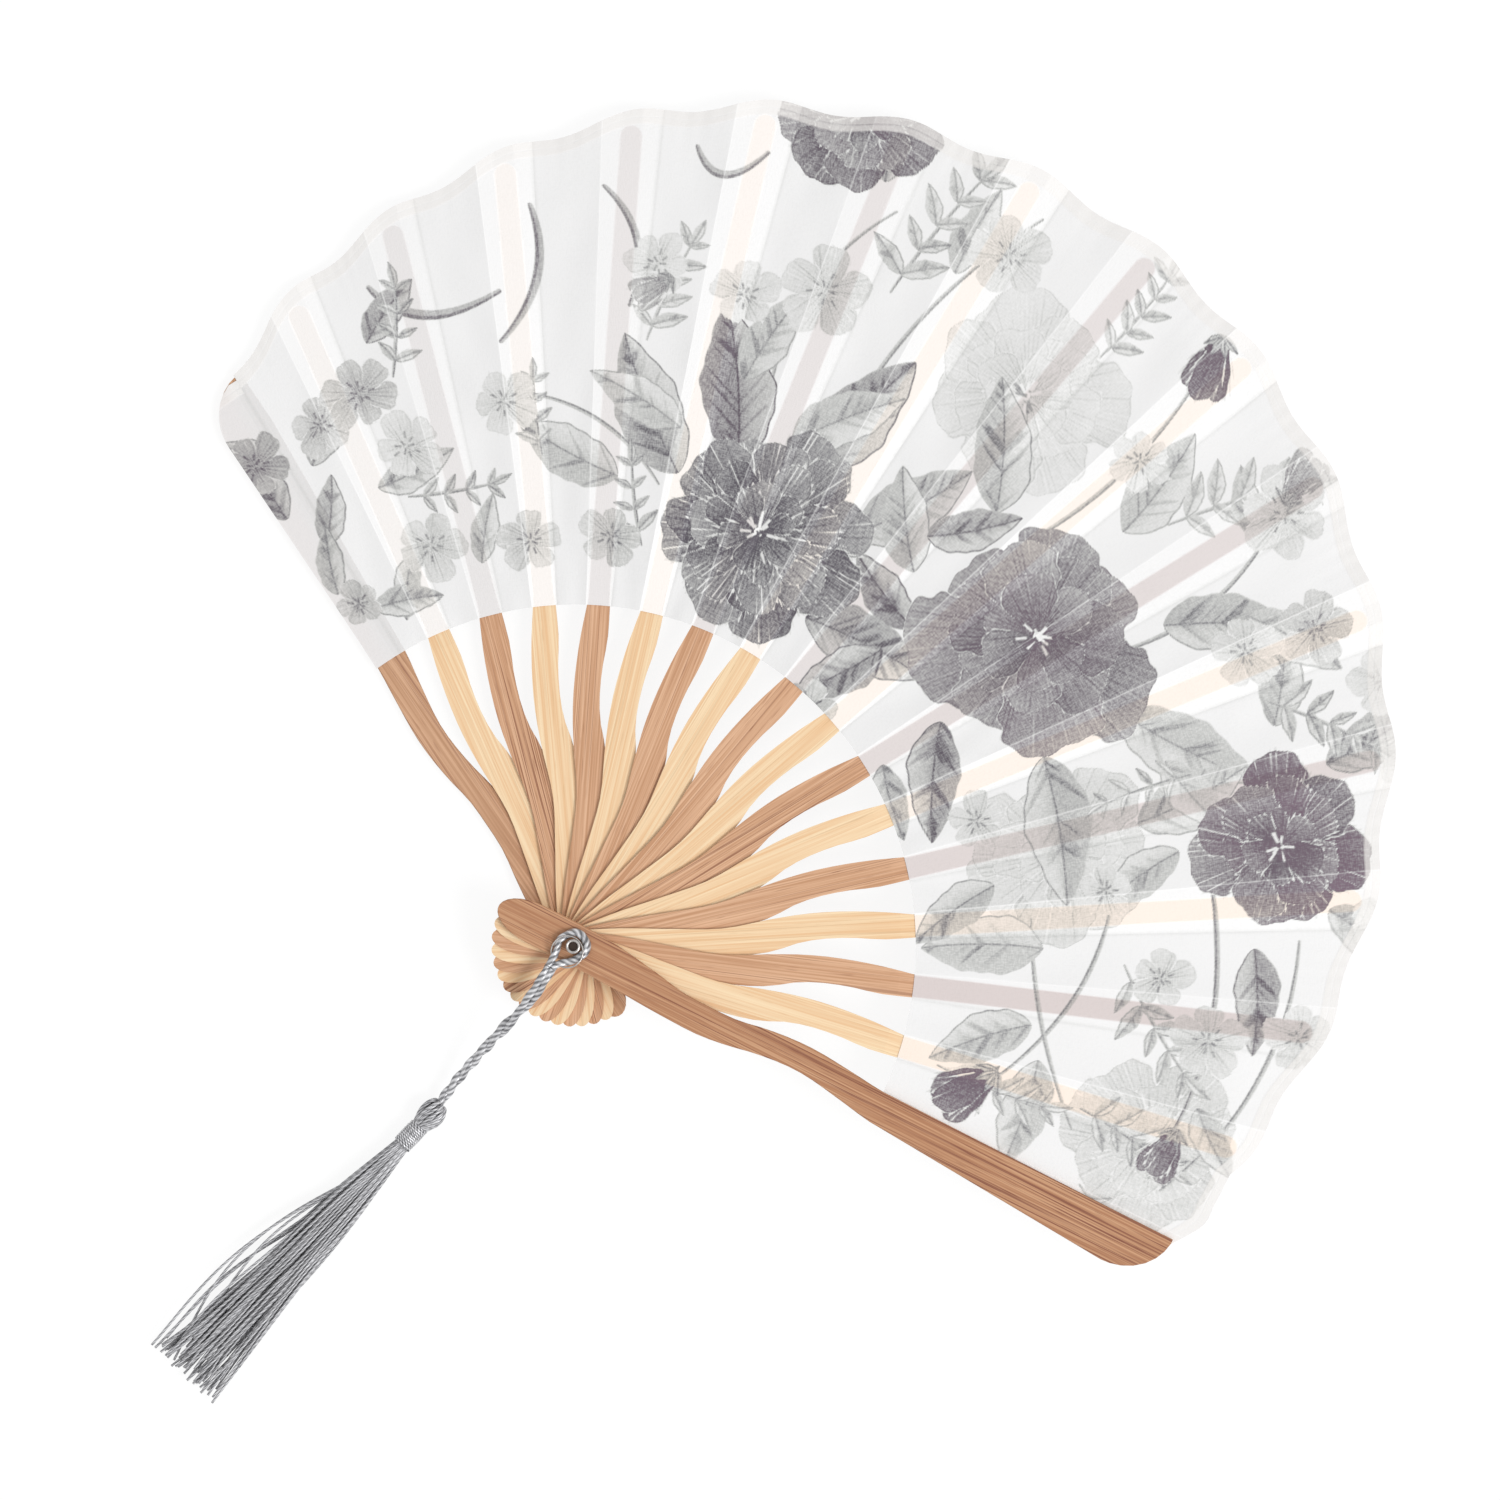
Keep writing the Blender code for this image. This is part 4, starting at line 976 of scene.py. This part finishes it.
def strip_columns(low, high):
    """Shares of the way across between two angles, a grain of the cloth apart."""
    return np.linspace(0, 1, max(8, int((high - low) * MID_RADIUS / CLOTH_GRAIN)) + 1)[None]


def row_shares(far):
    """Shares of the way from the leaf's inner edge out to a radius."""
    return np.linspace(0, 1, int((far - LEAF_INNER) / CLOTH_GRAIN) + 1)[:, None]


def glued_strip(number):
    """A strip glued to a stick: flat on it, down to the valley crease on one side, up to the ridge on the other.
    Gives angles, radii, heights, shares outwards, and distances from valley and ridge."""
    turn = stick_angle(number)
    far = leaf_reach(turn)
    share = row_shares(far)
    column = strip_columns(-FRONT_EDGE_ANGLE if number == STICKS else -HALF_PLEAT, HALF_PLEAT)
    valley_at, ridge_at = -HALF_PLEAT, HALF_PLEAT
    if number == 1:
        radius = between(LEAF_INNER, far - BACK_TRIM, share)
        edge = np.radians(np.interp(radius, *np.array(BACK_EDGE).T))
        offset = between(-HALF_PLEAT, edge, column)
        height, ridge_at = BACK_LEVEL, NO_CREASE
    elif number == STICKS:
        offset = between(-FRONT_EDGE_ANGLE, HALF_PLEAT, column)
        radius = between(LEAF_INNER, far + FRONT_SLOPE * offset, share)
        height, valley_at = FRONT_LEVEL, NO_CREASE
    else:
        offset = HALF_PLEAT * (2 * column - 1)
        radius = between(LEAF_INNER, leaf_reach(turn + offset), share)
        glued = GLUED_HALF_WIDTH / radius
        slope = held((np.abs(offset) - glued) / (HALF_PLEAT - glued))
        height = rib_level(number) + slope * lip(radius) * np.where(offset < 0, -VALLEY_DROP, RIDGE_RISE)
    offset, radius, height = np.broadcast_arrays(offset, radius, height)
    creases = [np.abs(offset - place) * radius for place in (valley_at, ridge_at)]
    return turn + offset, radius, height, share, creases, None


def free_fold(number):
    """The cloth between two sticks, from the valley crease of one up to the ridge crease of the next: it sags a
    little in its middle and has faint wrinkles, both gone at the creases. Also gives shares across."""
    start, end = stick_angle(number) - HALF_PLEAT, stick_angle(number + 1) + HALF_PLEAT
    share = row_shares(leaf_reach((start + end) / 2))
    column = strip_columns(end, start)
    across = 1 - column
    angle = between(end, start, column)
    far = leaf_reach(angle)
    if number == 1:
        far = far - BACK_TRIM * column
    if number == STICKS - 1:
        corner = leaf_reach(end - HALF_PLEAT) + FRONT_SLOPE * HALF_PLEAT - leaf_reach(end)
        far = far + smooth_through((*FRONT_FLARE[0], 1), (*FRONT_FLARE[1], corner), across)
    radius = between(LEAF_INNER, far, share)
    valley = BACK_LEVEL if number == 1 else rib_level(number) - VALLEY_DROP * lip(radius)
    ridge = FRONT_LEVEL if number == STICKS - 1 else rib_level(number + 1) + RIDGE_RISE * lip(radius)
    chance = default_rng(100 + number)
    arch = np.sin(pi * across)
    sag = -SAG * arch * (0.35 + 0.65 * share)
    wrinkle = 0
    for _ in range(5):
        period, slant, phase = chance.uniform(16, 60), chance.uniform(-0.9, 0.9), chance.uniform(0, TURN)
        wrinkle = wrinkle + WRINKLE * period * np.sin(TURN * (radius / period + slant * across) + phase)
    pucker = PUCKER * np.sin(TURN * (across * chance.uniform(3, 5)) + chance.uniform(0, TURN))
    pucker = pucker * np.exp(-(1 - share) * 16)
    height = between(valley, ridge, across) + sag + (wrinkle + pucker) * arch**0.7
    angle, across = (np.broadcast_to(part, radius.shape) for part in (angle, across))
    return angle, radius, height, share, [(start - angle) * radius, (angle - end) * radius], across


pieces = [(f"glued_strip_{n:02d}", n, glued_strip(n)) for n in range(1, STICKS + 1)]
pieces += [(f"free_fold_{n:02d}", n, free_fold(n)) for n in range(1, STICKS)]
flat = [np.stack(stepped((0, 0), *grid[:2])).reshape(2, -1) for _, _, grid in pieces]
flat_x, flat_y = np.concatenate(flat, axis=1)
ink, plum = leaf_print(flat_x, flat_y)
satin = satin_finish("printed_white_satin")
first = 0
for name, number, (angle, radius, height, share, creases, across) in pieces:
    rows, columns = radius.shape
    part = slice(first, first + radius.size)
    first += radius.size
    points = np.stack([flat_x[part], flat_y[part], height.ravel()], axis=-1) * MM
    here = np.arange(radius.size).reshape(rows, columns)
    quads = np.stack([here[:-1, :-1], here[1:, :-1], here[1:, 1:], here[:-1, 1:]], axis=-1).reshape(-1, 4)
    # On the UV map, U is the distance across from the strip's middle and V along it, in millimetres
    uv = np.stack([(angle - angle.mean()) * radius + 40 * number, radius], axis=-1).reshape(-1, 2)
    mesh = new_mesh(name, points, quads, uv[quads], satin)
    edge = (leaf_reach(angle) - LEAF_INNER) * (1 - share)
    hem = held((LEAF_HEM - edge) / 0.4) * (1 - 0.5 * held(1 - np.abs(edge - 2.4) / 0.3))
    # The stick shows through the cloth that is glued to it, more so towards the front guard
    shown = np.zeros(radius.shape)
    if across is None and 1 < number < STICKS:
        aside = np.abs(angle - stick_angle(number)) * radius
        beyond = np.maximum(radius - (leaf_reach(stick_angle(number)) - LEAF_HEM - BLADE_HALF_WIDTH), 0)
        shown = held((BLADE_HALF_WIDTH - np.hypot(aside, beyond)) / 0.5 + 0.5)
        shown = shown * (0.2 + 0.8 * (number - 2) / (STICKS - 3))
    elif across is None and number == 1:
        shown = 0.3 * held(creases[0] / 4 - 0.3)
    # Glued strips are painted whiter than the free folds: painted light, along with the stick's backing
    beside, gain = BACKING_AND_PAINTED_LIGHT[number % 2]
    # Nearness to each crease: painted shade along the valley and a painted highlight along the ridge
    valley, ridge = (np.exp(-((part / width) ** 2)) for part, width in zip(creases, CREASE_SHADE_AND_HIGHLIGHT_WIDTHS))
    white = (beside + gain * (shown > 0.05)) * (across is None)
    pale, dark = shown * (number % 2 == 0), shown * (number % 2 == 1)
    values = (ink[part], plum[part], hem, ridge, valley, white, pale, dark)
    for key, value in zip(CLOTH_VALUES, values):
        mesh.attributes.new(key, "FLOAT", "POINT").data.foreach_set("value", value.ravel().astype(np.float32))
    strip = place_object(name, mesh)
    sides = points.reshape(rows, columns, 3)
    tall = (radius.max() - radius.min()) * MM
    wide = float(np.linalg.norm(np.diff(sides, axis=1), axis=-1).sum(1).max())
    cross = np.cross(sides[1:, :-1] - sides[:-1, :-1], sides[:-1, 1:] - sides[:-1, :-1])
    area = float(np.linalg.norm(cross, axis=-1).sum())
    if across is not None:
        start, end = sides[rows // 2, -1], sides[rows // 2, 0]
        body_name(number + 1)
        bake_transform(strip)
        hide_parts(f"leaf_fold_{number:02d}")
        rests = [f"glued_strip_{n:02d}" for n in (number, number + 1)]
    else:
        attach(strip, body_name(number))
        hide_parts(f"leaf_pleat_{number:02d}")
        rests = [{1: "guard_back", STICKS: "guard_front"}.get(number, f"rib_{number:02d}")]
    min(area, wide * tall)
